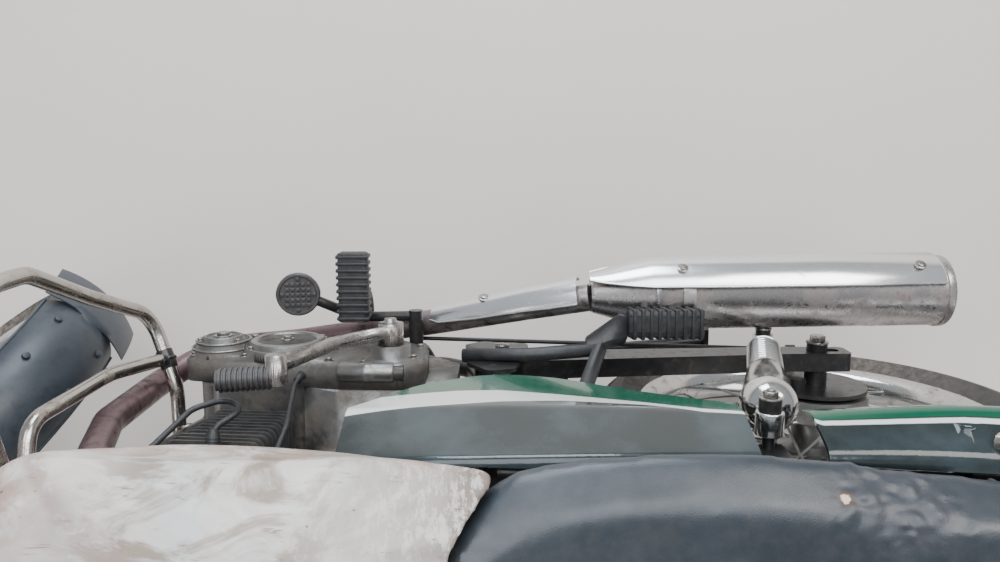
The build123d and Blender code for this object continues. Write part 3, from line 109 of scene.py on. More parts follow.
class FinishSettings(bpy.types.PropertyGroup):
    primer: FloatVectorProperty(
        name="Tank primer", description="Bare primer of the tank", default=(0.6, 0.56, 0.52), subtype="COLOR"
    )
    stain: FloatVectorProperty(
        name="Tank stain", description="Pinkish brown stains on the tank", default=(0.34, 0.22, 0.17),
        subtype="COLOR",
    )
    panel: FloatVectorProperty(
        name="Body panels", description="Dark metallic paint of the panels", default=(0.009, 0.0144, 0.0153),
        subtype="COLOR",
    )
    stripe: FloatVectorProperty(
        name="Green stripe", description="Green stripe of the panels", default=(0.0, 0.0713, 0.03844),
        subtype="COLOR",
    )
    pale: FloatVectorProperty(
        name="Pale stripe", description="Pale stripe of the panels", default=(0.6, 0.6, 0.57), subtype="COLOR"
    )
    casting: FloatVectorProperty(
        name="Engine casting", description="Dull cast alloy", default=(0.1428, 0.1386, 0.1344),
        subtype="COLOR"
    )
    grime: FloatVectorProperty(
        name="Engine grime", description="Oily dirt on the engine", default=(0.075, 0.062, 0.048),
        subtype="COLOR",
    )


class ShapeSettings(bpy.types.PropertyGroup):
    voxel: FloatProperty(
        name="Remesh size", description="Voxel size of the tank and seat", default=0.005, unit="LENGTH"
    )
    seat_swell: FloatProperty(
        name="Seat swell", description="Most that the seat's cover swells", default=0.006, unit="LENGTH"
    )
    recess: FloatProperty(
        name="Knee recess", description="Depth of the tank's knee recess", default=0.007, unit="LENGTH"
    )
    tread_steps: IntProperty(name="Tread steps", description="Tread blocks round a tyre", default=96)


# Heights of the panels' stripes above the ground, by X: top of the green, top of the pale
GREEN_TOP = [(-0.27, 0.752), (-0.12, 0.733), (0.02, 0.713), (0.145, 0.703), (0.206, 0.66), (0.242, 0.652),
             (0.296, 0.626), (0.375, 0.594), (0.438, 0.572), (0.482, 0.57), (0.592, 0.582)]
PALE_TOP = [(-0.27, 0.759), (-0.12, 0.74), (0.02, 0.72), (0.145, 0.71), (0.206, 0.667), (0.242, 0.662),
            (0.296, 0.64), (0.375, 0.622), (0.438, 0.622), (0.482, 0.628), (0.592, 0.636)]
STRIPE_SPAN = (0.4, 0.8)
PAINT_EDGE = 0.0006
# Torn patch of the seat with its half length and half width, and the hole that shows its foam
TORN_PLACE = Vector((0.118, -0.094, 0.82))
TORN_LENGTH, TORN_WIDTH = 0.065, 0.045
FOAM_SPOT = Vector((0.158, -0.105, 0.8))
TORN_RANGE = (0.4, 1.1)
SEAT_EDGE = 0.74
CRUMPLE_DEPTH, CRUMPLE_SCALE, CRUMPLE_LEVEL = 0.007, 60, 0.6
# Half width of the tank's knee crease, by X
CREASE = [(0.38, 0.03), (0.52, 0.06), (0.65, 0.088), (0.7, 0.1), (0.757, 0.122), (0.804, 0.145), (0.87, 0.16)]


# Shader helpers
class Graph:
    """A node tree that is filled by short calls."""

    def __init__(self, tree):
        self.tree = tree
        self.count = 0

    def put(self, kind, inputs=None, **settings):
        node = self.tree.nodes.new(kind)
        node.location = (180 * (self.count % 14) - 1400, -220 * (self.count // 14))
        self.count += 1
        for name, value in settings.items():
            setattr(node, name, value)
        for key, value in (inputs or {}).items():
            socket = node.inputs[key]
            if isinstance(value, bpy.types.NodeSocket):
                self.tree.links.new(value, socket)
            else:
                socket.default_value = value
        return node

    def math(self, operation, a, b=0.0, clamp=False):
        return self.put("ShaderNodeMath", {0: a, 1: b}, operation=operation, use_clamp=clamp).outputs[0]

    def noise(self, vector, scale, detail=4.0, roughness=0.55, distortion=0.0):
        return self.put("ShaderNodeTexNoise", {
            "Vector": vector, "Scale": scale, "Detail": detail, "Roughness": roughness,
            "Distortion": distortion,
        }).outputs["Fac"]

    def band(self, value, low, high, to_low=0.0, to_high=1.0):
        return self.put("ShaderNodeMapRange", {
            "Value": value, "From Min": low, "From Max": high, "To Min": to_low, "To Max": to_high,
        }, interpolation_type="SMOOTHSTEP").outputs["Result"]

    def blend(self, factor, a, b):
        node = self.put("ShaderNodeMix", {"Factor": factor}, data_type="RGBA")
        for socket, value in ((node.inputs[6], a), (node.inputs[7], b)):
            if isinstance(value, bpy.types.NodeSocket):
                self.tree.links.new(value, socket)
            else:
                socket.default_value = (*value, 1.0) if len(value) == 3 else value
        return node.outputs[2]

    def curve(self, value, points, low, high, start, end):
        """A measured line: value from low to high goes in, heights from start to end come out."""
        where = self.put("ShaderNodeMapRange", {"Value": value, "From Min": low, "From Max": high})
        node = self.put("ShaderNodeFloatCurve", {"Value": where.outputs["Result"]})
        line = node.mapping.curves[0]
        scaled = [((x - low) / (high - low), (y - start) / (end - start)) for x, y in points]
        line.points[0].location, line.points[-1].location = scaled[0], scaled[-1]
        for place in scaled[1:-1]:
            line.points.new(*place)
        for point in line.points:
            point.handle_type = "VECTOR"
        node.mapping.update()
        return self.put("ShaderNodeMapRange", {
            "Value": node.outputs[0], "To Min": start, "To Max": end,
        }).outputs["Result"]


def shared_group(name, inputs, outputs, fill):
    """A node group that is built once and used by several materials."""
    tree = bpy.data.node_groups.get(name)
    if tree:
        return tree
    tree = bpy.data.node_groups.new(name, "ShaderNodeTree")
    for socket, kind, value in inputs:
        made = tree.interface.new_socket(name=socket, in_out="INPUT", socket_type=kind)
        if value is not None:
            made.default_value = value
    for socket, kind in outputs:
        tree.interface.new_socket(name=socket, in_out="OUTPUT", socket_type=kind)
    graph = Graph(tree)
    source = graph.put("NodeGroupInput")
    results = fill(graph, source.outputs)
    graph.put("NodeGroupOutput", results)
    return tree


FLOAT, COLOR, VECTOR = "NodeSocketFloat", "NodeSocketColor", "NodeSocketVector"


def upright_group():
    """Machine coordinates of the parked machine: X forward, Y left, Z up."""
    def fill(graph, source):
        place = graph.put("ShaderNodeTexCoord").outputs["Object"]
        turned = graph.put("ShaderNodeMapping", {
            "Vector": place, "Location": ORIGIN, "Rotation": (-LEAN, 0, 0),
        }, vector_type="TEXTURE")
        return {"Place": turned.outputs[0]}
    return shared_group("Upright place", [], [("Place", VECTOR)], fill)


def grime_group():
    """Patchy dirt laid over a colour, with the mask it used."""
    def fill(graph, source):
        broad = graph.noise(source["Vector"], source["Scale"], 5, 0.62, 0.4)
        fine = graph.noise(source["Vector"], graph.math("MULTIPLY", source["Scale"], 7.3), 4, 0.7)
        both = graph.math("ADD", graph.math("MULTIPLY", broad, 0.72), graph.math("MULTIPLY", fine, 0.28))
        edge = graph.math("SUBTRACT", 0.78, graph.math("MULTIPLY", source["Amount"], 0.5))
        mask = graph.put("ShaderNodeMapRange", {
            "Value": both, "From Min": graph.math("SUBTRACT", edge, 0.12),
            "From Max": graph.math("ADD", edge, 0.12),
        }, interpolation_type="SMOOTHSTEP").outputs["Result"]
        return {"Color": graph.blend(mask, source["Color"], source["Dirt"]), "Mask": mask}
    return shared_group("Grime", [
        ("Vector", VECTOR, None), ("Color", COLOR, (0.5, 0.5, 0.5, 1)),
        ("Dirt", COLOR, (0.05, 0.04, 0.03, 1)),
        ("Amount", FLOAT, 0.5), ("Scale", FLOAT, 14.0),
    ], [("Color", COLOR), ("Mask", FLOAT)], fill)


def dust_group():
    """Pale dust that settles on faces that look upwards."""
    def fill(graph, source):
        up = graph.put("ShaderNodeSeparateXYZ", {0: graph.put("ShaderNodeNewGeometry").outputs["Normal"]})
        facing = graph.band(up.outputs["Z"], 0.15, 0.95)
        cloud = graph.band(graph.noise(source["Vector"], source["Scale"], 6, 0.65), 0.3, 0.75)
        mask = graph.math("MULTIPLY", graph.math("MULTIPLY", facing, cloud), source["Amount"], True)
        return {"Color": graph.blend(mask, source["Color"], source["Dust"]), "Mask": mask}
    return shared_group("Dust", [
        ("Vector", VECTOR, None), ("Color", COLOR, (0.5, 0.5, 0.5, 1)),
        ("Dust", COLOR, (0.33, 0.28, 0.23, 1)),
        ("Amount", FLOAT, 0.4), ("Scale", FLOAT, 20.0),
    ], [("Color", COLOR), ("Mask", FLOAT)], fill)


def grain_group():
    """Fine height for a bump: a cell grain and a soft waviness."""
    def fill(graph, source):
        cells = graph.put("ShaderNodeTexVoronoi", {
            "Vector": source["Vector"], "Scale": source["Scale"],
        }, feature="F1").outputs["Distance"]
        soft = graph.noise(source["Vector"], graph.math("MULTIPLY", source["Scale"], 0.05), 3)
        cell_part = graph.math("MULTIPLY", cells, source["Cells"])
        soft_part = graph.math("MULTIPLY", soft, source["Waves"])
        return {"Height": graph.math("ADD", cell_part, soft_part)}
    return shared_group("Grain", [
        ("Vector", VECTOR, None), ("Scale", FLOAT, 600.0), ("Cells", FLOAT, 1.0), ("Waves", FLOAT, 0.5),
    ], [("Height", FLOAT)], fill)


def scratch_group():
    """Thin streaks along X, as rubbing and polishing leave them."""
    def fill(graph, source):
        stretched = {"Vector": source["Vector"], "Scale": (0.06, 1.0, 1.0)}
        drawn = graph.put("ShaderNodeMapping", stretched).outputs[0]
        lines = graph.noise(drawn, source["Scale"], 2, 0.5, 0.6)
        breaks = graph.noise(source["Vector"], 26, 3)
        mask = graph.math("MULTIPLY", graph.band(lines, 0.62, 0.7), graph.band(breaks, 0.46, 0.6))
        return {"Mask": graph.math("MULTIPLY", mask, source["Amount"], True)}
    return shared_group("Scratches", [
        ("Vector", VECTOR, None), ("Scale", FLOAT, 420.0), ("Amount", FLOAT, 0.5),
    ], [("Mask", FLOAT)], fill)


def group(graph, tree, inputs):
    """Place a shared group with its own values and give back its outputs."""
    node = graph.put("ShaderNodeGroup")
    node.node_tree = tree
    for key, value in inputs.items():
        socket = node.inputs[key]
        if isinstance(value, bpy.types.NodeSocket):
            graph.tree.links.new(value, socket)
        elif socket.type == "RGBA":
            socket.default_value = (*value, 1.0)[:4]
        else:
            socket.default_value = value
    return node.outputs


def start_material(name):
    """A new material with its Principled shader, its graph and the Object coordinates."""
    material = bpy.data.materials.new(name)
    material.use_nodes = True
    tree = material.node_tree
    tree.nodes.clear()
    graph = Graph(tree)
    shader = graph.put("ShaderNodeBsdfPrincipled")
    graph.put("ShaderNodeOutputMaterial", {"Surface": shader.outputs[0]})
    place = graph.put("ShaderNodeTexCoord").outputs["Object"]
    return material, graph, shader, place


def start_upright(name):
    """A new material with its shader, its graph, the upright machine's coordinates and their parts."""
    material, graph, shader, place = start_material(name)
    machine = group(graph, upright_group(), {})["Place"]
    return material, graph, shader, machine, graph.put("ShaderNodeSeparateXYZ", {0: machine}).outputs


def wire(graph, shader, **sockets):
    """Values or links for the shader's sockets, by their names in small letters."""
    for name, value in sockets.items():
        socket = shader.inputs[name.replace("_", " ").title()]
        if isinstance(value, bpy.types.NodeSocket):
            graph.tree.links.new(value, socket)
        elif socket.type == "RGBA":
            socket.default_value = (*value, 1.0)[:4]
        else:
            socket.default_value = value


def bump(graph, shader, height, strength, distance):
    node = graph.put("ShaderNodeBump", {"Height": height, "Strength": strength, "Distance": distance})
    graph.tree.links.new(node.outputs[0], shader.inputs["Normal"])


# Finishes
def metal_finish(name, colour, dirt, roughness, amount=0.3, dust=0.12, grain=0.25, scale=45.0, metallic=1.0):
    """Bare, cast or plated metal with patchy dirt, dust and a fine grain."""
    material, graph, shader, place = start_material(name)
    dirty = group(graph, grime_group(), {
        "Vector": place, "Color": colour, "Dirt": dirt, "Amount": amount, "Scale": scale,
    })
    dusty = group(graph, dust_group(), {
        "Vector": place, "Color": dirty["Color"], "Amount": dust, "Scale": 70.0,
    })
    rubbed = group(graph, scratch_group(), {"Vector": place, "Amount": 0.6})
    rough = graph.math("ADD", graph.math("MULTIPLY", dirty["Mask"], 0.35),
                       graph.math("MULTIPLY", dusty["Mask"], 0.3))
    rough = graph.math("ADD", graph.math("ADD", rough, roughness),
                       graph.math("MULTIPLY", rubbed["Mask"], 0.15), True)
    shine = graph.math("MULTIPLY", graph.math("SUBTRACT", 1.0, graph.math("MULTIPLY", dirty["Mask"], 0.75)),
                       graph.math("SUBTRACT", metallic, graph.math("MULTIPLY", dusty["Mask"], 0.8)), True)
    wire(graph, shader, base_color=dusty["Color"], roughness=rough, metallic=shine)
    fine = group(graph, grain_group(), {"Vector": place, "Scale": 900.0, "Cells": grain, "Waves": 0.4})
    bump(graph, shader, fine["Height"], 0.35, 0.0006)
    return material


def rubber_finish(name, colour, roughness=0.75, dust=0.5, grain=0.6):
    """Dull rubber or moulded plastic with settled dust."""
    material, graph, shader, place = start_material(name)
    dusty = group(graph, dust_group(), {"Vector": place, "Color": colour, "Amount": dust, "Scale": 110.0})
    patchy = group(graph, grime_group(), {
        "Vector": place, "Color": dusty["Color"], "Dirt": tuple(c * 0.6 for c in colour), "Amount": 0.4,
        "Scale": 70.0,
    })
    rough = graph.math("ADD", roughness, graph.math("MULTIPLY", dusty["Mask"], 0.2), True)
    wire(graph, shader, base_color=patchy["Color"], roughness=rough)
    fine = group(graph, grain_group(), {"Vector": place, "Scale": 1100.0, "Cells": grain, "Waves": 0.8})
    bump(graph, shader, fine["Height"], 0.3, 0.0005)
    return material


def primer_finish(settings):
    """The tank's stripped paint: pale primer, brown rub marks, pink edges, streaks and specks."""
    material, graph, shader, machine, split = start_upright("tank_primer_worn")
    primer, stain = settings.primer, settings.stain

    def lay(tone, colour, mask, amount):
        return graph.blend(graph.math("MULTIPLY", mask, amount, True), tone, colour)

    def cloud(scale, low, high, detail=7, distortion=0.9):
        return graph.band(graph.noise(machine, scale, detail, 0.66, distortion), low, high)

    tone = lay(primer, tuple(c * 0.7 for c in primer), cloud(6.0, 0.42, 0.56), 0.7)
    tone = lay(tone, (0.46, 0.48, 0.48), cloud(8.3, 0.5, 0.58), 0.6)
    middle = graph.math("MULTIPLY", graph.band(split["X"], 0.52, 0.62), graph.band(split["X"], 0.8, 0.7))
    tone = lay(tone, (0.17, 0.115, 0.07), graph.math("MULTIPLY", middle, cloud(16.0, 0.42, 0.58)), 0.8)
    tone = lay(tone, (0.4, 0.26, 0.2), graph.math("MULTIPLY", graph.band(split["Z"], 0.79, 0.77),
                                                    cloud(19.0, 0.4, 0.6)), 0.7)
    front = graph.band(split["X"], 0.74, 0.84)
    tone = lay(tone, stain, graph.math("MULTIPLY", front, cloud(20.0, 0.44, 0.56, 9, 1.6)), 0.85)
    tone = lay(tone, (0.3, 0.19, 0.17), graph.math("MULTIPLY", front, cloud(9.0, 0.44, 0.58)), 0.6)
    cloudy = graph.math("MULTIPLY", graph.noise(machine, 9.0, 4), graph.band(split["X"], 0.58, 0.5))
    rear = graph.math("ADD", graph.band(split["X"], 0.51, 0.43), cloudy)
    fibres = graph.put("ShaderNodeMapping", {"Vector": machine, "Scale": (1.0, 0.4, 0.4)}).outputs[0]
    torn = graph.band(graph.noise(fibres, 130.0, 6, 0.75), 0.42, 0.54)
    rough_patch = graph.math("MULTIPLY", rear, torn, True)
    tone = lay(tone, (0.13, 0.085, 0.06), rough_patch, 0.8)
    specks = graph.put("ShaderNodeTexVoronoi", {"Vector": machine, "Scale": 55.0, "Randomness": 1.0}).outputs
    dots = graph.math("MULTIPLY", graph.band(specks["Distance"], 0.1, 0.05), cloud(6.0, 0.5, 0.56, 2, 0.0))
    tone = lay(tone, (0.07, 0.05, 0.04), dots, 0.9)
    streaks = group(graph, scratch_group(), {"Vector": machine, "Scale": 260.0, "Amount": 0.8})
    tone = graph.blend(streaks["Mask"], tone, (0.2, 0.13, 0.1))
    inner = graph.curve(split["X"], CREASE, CREASE[0][0], CREASE[-1][0], 0.0, 0.2)
    beside = graph.math("ABSOLUTE", graph.math("SUBTRACT", graph.math("ABSOLUTE", split["Y"]), inner))
    broken = graph.math("MULTIPLY", graph.band(split["X"], 0.64, 0.7), cloud(45.0, 0.36, 0.5))
    crease = graph.math("MULTIPLY", graph.band(beside, 0.007, 0.001), broken)
    tone = lay(tone, (0.2, 0.11, 0.1), crease, 0.45)
    rough = graph.band(graph.noise(machine, 14.0, 5), 0.3, 0.7, 0.36, 0.6)
    wire(graph, shader, base_color=tone, roughness=rough)
    shader.inputs["Coat Weight"].default_value = 0.1
    ragged = graph.math("ADD", graph.math("MULTIPLY", rough_patch, 1.6), graph.noise(machine, 60.0, 5, 0.6))
    bump(graph, shader, ragged, 0.35, 0.0015)
    return material


def panel_finish(settings):
    """Dark metallic body paint under a clear coat, its stripes at measured heights."""
    material, graph, shader, machine, split = start_upright("panel_dark_metallic")
    rear_x, front_x = GREEN_TOP[0][0], GREEN_TOP[-1][0]
    green_top = graph.curve(split["X"], GREEN_TOP, rear_x, front_x, *STRIPE_SPAN)
    pale_top = graph.curve(split["X"], PALE_TOP, rear_x, front_x, *STRIPE_SPAN)
    above_green = graph.math("SUBTRACT", split["Z"], green_top)
    above_pale = graph.math("SUBTRACT", split["Z"], pale_top)
    flake = graph.put("ShaderNodeTexVoronoi", {"Vector": machine, "Scale": 1800.0}).outputs["Color"]
    fleck = graph.math("MULTIPLY", graph.put("ShaderNodeSeparateColor", {0: flake}).outputs[0], 0.04)
    tone = graph.blend(fleck, settings.panel, (0.2, 0.26, 0.25))
    tone = graph.blend(graph.band(graph.noise(machine, 9.0, 4), 0.4, 0.7, 0.0, 0.4), tone, (0.07, 0.1, 0.115))
    tone = graph.blend(graph.band(above_pale, PAINT_EDGE, -PAINT_EDGE), tone, settings.pale)
    tone = graph.blend(graph.band(above_green, 0.0022, 0.001), tone, (0.02, 0.03, 0.03))
    tone = graph.blend(graph.band(above_green, PAINT_EDGE, -PAINT_EDGE), tone, settings.stripe)
    dusty = group(graph, dust_group(), {"Vector": machine, "Color": tone, "Amount": 0.02, "Scale": 60.0})
    rough = graph.math("ADD", 0.12, graph.math("MULTIPLY", dusty["Mask"], 0.9))
    rough = graph.math("ADD", rough, graph.band(graph.noise(machine, 40.0, 6, 0.7), 0.4, 0.8, 0.0, 0.1))
    wire(graph, shader, base_color=dusty["Color"], roughness=rough)
    shader.inputs["Specular IOR Level"].default_value = 0.3
    shader.inputs["Coat Weight"].default_value = 0.35
    bump(graph, shader, graph.noise(machine, 8.0, 2), 0.12, 0.004)
    return material


def header_finish():
    """Header pipe: heat-browned at the engine, dull grey towards the silencer."""
    material, graph, shader, machine, split = start_upright("hot_steel")
    bands = graph.math("ADD", split["X"], graph.math("MULTIPLY", graph.noise(machine, 12.0, 5), 0.16))
    tone = graph.blend(graph.band(bands, 0.5, 0.74), (0.3, 0.28, 0.27), (0.17, 0.11, 0.115))
    dirty = group(graph, grime_group(), {
        "Vector": machine, "Color": tone, "Dirt": (0.07, 0.045, 0.04), "Amount": 0.4, "Scale": 60.0,
    })
    rough = graph.math("ADD", 0.34, graph.math("MULTIPLY", dirty["Mask"], 0.3))
    wire(graph, shader, base_color=dirty["Color"], roughness=rough, metallic=0.75)
    bump(graph, shader, graph.noise(machine, 300.0, 4), 0.25, 0.0006)
    return material


def vinyl_finish():
    """Dark seat cover: leather grain, a torn and crumpled patch and a hole that shows the foam."""
    material, graph, shader, machine, split = start_upright("seat_vinyl_worn")
    tone = graph.blend(graph.band(graph.noise(machine, 5.0, 5, 0.6), 0.35, 0.7), (0.02, 0.026, 0.033),
                       (0.036, 0.046, 0.056))
    off_x = graph.math("DIVIDE", graph.math("SUBTRACT", split["X"], TORN_PLACE[0]), 0.05)
    off_y = graph.math("DIVIDE", graph.math("SUBTRACT", split["Y"], TORN_PLACE[1]), 0.036)
    reach = graph.math("SQRT", graph.math("ADD", graph.math("MULTIPLY", off_x, off_x),
                                          graph.math("MULTIPLY", off_y, off_y)))
    patch = graph.band(graph.math("ADD", reach, graph.noise(machine, 40.0, 5, 0.7)), 1.5, 1.1)
    tone = graph.blend(graph.math("MULTIPLY", patch, 0.6), tone, (0.035, 0.038, 0.048))
    hole = graph.put("ShaderNodeVectorMath", {0: machine, 1: FOAM_SPOT},
                     operation="DISTANCE").outputs["Value"]
    ragged = graph.math("ADD", hole, graph.math("MULTIPLY", graph.noise(machine, 160.0, 4), 0.008))
    tone = graph.blend(graph.band(ragged, 0.0125, 0.0105), tone, (0.05, 0.03, 0.025))
    tone = graph.blend(graph.band(ragged, 0.0085, 0.0068), tone, (0.6, 0.5, 0.36))
    rough = graph.math("ADD", graph.band(graph.noise(machine, 9.0, 5, 0.6), 0.3, 0.7, 0.27, 0.4),
                       graph.math("MULTIPLY", patch, 0.06), True)
    dusty = group(graph, dust_group(), {"Vector": machine, "Color": tone, "Amount": 0.05, "Scale": 60.0})
    wire(graph, shader, base_color=dusty["Color"], roughness=rough)
    fine = group(graph, grain_group(), {"Vector": machine, "Scale": 900.0, "Cells": 0.22, "Waves": 0.12})
    torn = graph.math("MULTIPLY", graph.noise(machine, 48.0, 4, 0.6, 1.2), patch)
    height = graph.math("ADD", fine["Height"], torn)
    bump(graph, shader, height, 0.35, 0.0012)
    return material


def lens_finish(name, colour, transmission=0.0, roughness=0.12):
    """Moulded lamp plastic with a ribbed inner face."""
    material, graph, shader, place = start_material(name)
    ribs = graph.put("ShaderNodeTexWave", {"Vector": place, "Scale": 55.0, "Distortion": 0.0}).outputs["Fac"]
    tone = graph.blend(graph.band(ribs, 0.2, 0.8), colour, tuple(c * 0.7 for c in colour))
    wire(graph, shader, base_color=tone, roughness=roughness, transmission_weight=transmission)
    shader.inputs["Coat Weight"].default_value = 0.6
    bump(graph, shader, ribs, 0.3, 0.001)
    return material


# Metals: name, colour, dirt, roughness, amount of dirt, dust, grain, scale of the dirt and metallic
METALS = {
    "frame": ("frame_black_paint", (0.012, 0.012, 0.013), (0.05, 0.036, 0.028),
              0.3, 0.3, 0.04, 0.25, 90.0, 0.1),
    "fin_black": ("fin_black", (0.06, 0.06, 0.062), (0.03, 0.026, 0.022), 0.42, 0.35, 0.15, 0.3, 120.0, 0.5),
    "chrome": ("chrome_plate", (0.68, 0.68, 0.67), (0.13, 0.08, 0.05), 0.07, 0.2, 0.08, 0.05, 26.0),
    "shield_chrome": ("shield_chrome", (0.82, 0.82, 0.82), (0.3, 0.27, 0.24),
                      0.2, 0.14, 0.05, 0.1, 60.0, 0.95),
    "shock_chrome": ("shock_chrome", (0.62, 0.62, 0.61), (0.1, 0.08, 0.06), 0.13, 0.25, 0.06, 0.05, 60.0),
    "rim_chrome": ("rim_chrome", (0.6, 0.59, 0.57), (0.14, 0.09, 0.06), 0.16, 0.32, 0.08, 0.1, 50.0),
    "guard_chrome": ("guard_chrome", (0.46, 0.43, 0.39), (0.13, 0.075, 0.045), 0.18, 0.36, 0.05, 0.1, 38.0),
    "old_chrome": ("old_chrome", (0.5, 0.48, 0.45), (0.1, 0.055, 0.03), 0.16, 0.4, 0.12, 0.15, 30.0),
    "dark_casting": ("dark_casting", (0.05, 0.048, 0.045), (0.02, 0.018, 0.015),
                     0.45, 0.4, 0.1, 0.25, 45.0, 0.6),
    "satin_steel": ("satin_steel", (0.5, 0.47, 0.46), (0.15, 0.1, 0.08), 0.26, 0.36, 0.06, 0.3, 24.0),
    "bare_steel": ("bare_steel", (0.34, 0.32, 0.3), (0.06, 0.045, 0.035), 0.24, 0.4, 0.06, 0.3, 60.0),
    "mirror": ("mirror_glass", (0.85, 0.87, 0.88), (0.3, 0.3, 0.3), 0.03, 0.05, 0.05, 0.0),
}
# Rubbers and plastics: name, colour, roughness, dust and grain
RUBBERS = {
    "worn_rubber": ("worn_rubber", (0.045, 0.042, 0.044), 0.45, 0.08),
    "rubber": ("peg_rubber", (0.016, 0.017, 0.019), 0.5, 0.06),
    "tyre": ("tyre_rubber", (0.045, 0.04, 0.036), 0.72, 0.6),
    "guard": ("guard_plastic", (0.026, 0.034, 0.044), 0.4, 0.05, 0.3),
    "plastic": ("black_plastic", (0.014, 0.014, 0.015), 0.42, 0.08, 0.4),
    "dial_black": ("dial_black", (0.01, 0.01, 0.011), 0.35, 0.05, 0.1),
    "dial_white": ("dial_white", (0.7, 0.7, 0.68), 0.5, 0.05, 0.1),
}
# Lenses: name, colour, transmission and roughness
LENSES = {
    "red_lens": ("red_lens", (0.42, 0.01, 0.012)),
    "amber_lens": ("amber_lens", (0.7, 0.22, 0.02)),
    "clear_lens": ("clear_lens", (0.78, 0.8, 0.82), 0.75, 0.06),
}


def make_finishes(settings):
    """Every finish by its key: the special ones, the engine's castings and the tables above."""
    casting, grime = tuple(settings.casting), tuple(settings.grime)
    made = {
        "primer": primer_finish(settings),
        "panel": panel_finish(settings),
        "vinyl": vinyl_finish(),
        "hot_steel": header_finish(),
        "casting": metal_finish("engine_casting", casting, grime, 0.34, 0.5, 0.08, 0.6, 30.0, 0.8),
        "bright_casting": metal_finish("bright_casting", (0.24, 0.235, 0.23), grime,
                                       0.3, 0.34, 0.06, 0.5, 40.0, 0.9),
    }
    for table, finish in ((METALS, metal_finish), (RUBBERS, rubber_finish), (LENSES, lens_finish)):
        for key, row in table.items():
            made[key] = finish(*row)
    return made


FINISHES = {}
NODE_FINISH = {
    "frame": ["main_frame", "swing_arm", "side_stand", "centre_stand", "chain_case", "brake_pedal",
              "rear_brake"],
    "casting": ["engine_case", "clutch_cover", "intake", "magneto_cover"],
    "fin_black": ["cylinder"],
    "bright_casting": ["front_hub", "rear_hub", "front_brake", "yokes", "fork_legs"],
    "chrome": ["heat_shields", "front_rim", "rear_rim", "shocks", "filler_cap"],
    "old_chrome": ["leg_guard", "grab_rail", "handlebar"],
    "satin_steel": ["silencer"],
    "hot_steel": ["exhaust_pipe"],
    "bare_steel": ["kick_lever", "gear_lever"],
    "panel": ["side_covers", "tail_cowl"],
    "primer": ["fuel_tank"],
    "vinyl": ["seat"],
    "rubber": ["footrests", "passenger_pegs", "cables"],
    "tyre": ["front_tyre", "rear_tyre"],
    "guard": ["front_mudguard", "rear_mudguard", "headlamp_cowl"],
    "plastic": ["hand_controls", "instruments"],
    "red_lens": ["tail_lamp"],
    "amber_lens": ["front_indicators", "rear_indicators"],
    "clear_lens": ["headlamp"],
}


def dress(obj, finish):
    obj.data.materials.clear()
    obj.data.materials.append(FINISHES[finish])


# Shape helpers
def way_matrix(start, end):
    """Frame at start whose Z points to end."""
    way = Vector(end) - Vector(start)
    return Matrix.Translation(start) @ way.to_track_quat("Z", "Y").to_matrix().to_4x4()


def rod(bm, start, end, radius, tip=None, sides=24, edge=0.0):
    """A round bar, or a cone if tip is given, with its end edges rounded."""
    length = (Vector(end) - Vector(start)).length
    made = bmesh.ops.create_cone(
        bm, cap_ends=True, segments=sides, radius1=radius, radius2=radius if tip is None else tip,
        depth=length, matrix=way_matrix(start, end) @ Matrix.Translation((0, 0, length / 2)),
    )["verts"]
    if edge:
        rims = {e for v in made for e in v.link_edges if any(len(f.verts) > 4 for f in e.link_faces)}
        bmesh.ops.bevel(bm, geom=list(rims), offset=edge, segments=2, affect="EDGES", profile=0.5,
                        material=-1)


def lathe(bm, profile, start, end, steps=48):
    """Turn a profile of (radius, distance) pairs about the line from start to end."""
    place = way_matrix(start, end)
    verts = [bm.verts.new(place @ Vector((radius, 0, along))) for radius, along in profile]
    edges = [bm.edges.new(pair) for pair in zip(verts, verts[1:])]
    bmesh.ops.spin(
        bm, geom=verts + edges, cent=place.translation, axis=place.col[2].xyz, angle=math.tau, steps=steps,
        use_merge=True, use_normal_flip=False, use_duplicate=False,
    )


def place_at(origin, way, up=(0, 0, 1)):
    """Frame at origin: Z along way, Y as near to up as it can be."""
    z = Vector(way).normalized()
    x = Vector(up).cross(z).normalized()
    return Matrix.Translation(origin) @ Matrix((x, z.cross(x), z)).transposed().to_4x4()


def rounded_route(route, bends):
    """Points along a route of straight runs whose corners are rounded to the radii given."""
    corners = [Vector(point) for point in route]
    points = [corners[0]]
    for before, corner, after, bend in zip(corners, corners[1:], corners[2:], bends):
        back, onward = (before - corner).normalized(), (after - corner).normalized()
        half = back.angle(onward) / 2
        centre = corner + (back + onward).normalized() * bend / math.sin(half)
        start = corner + back * bend / math.tan(half) - centre
        axis = start.cross(onward - back)
        turn = math.pi - 2 * half
        steps = max(2, round(turn / math.radians(7)))
        points += [centre + Matrix.Rotation(turn * i / steps, 3, axis) @ start for i in range(steps + 1)]
    return points + [corners[-1]]


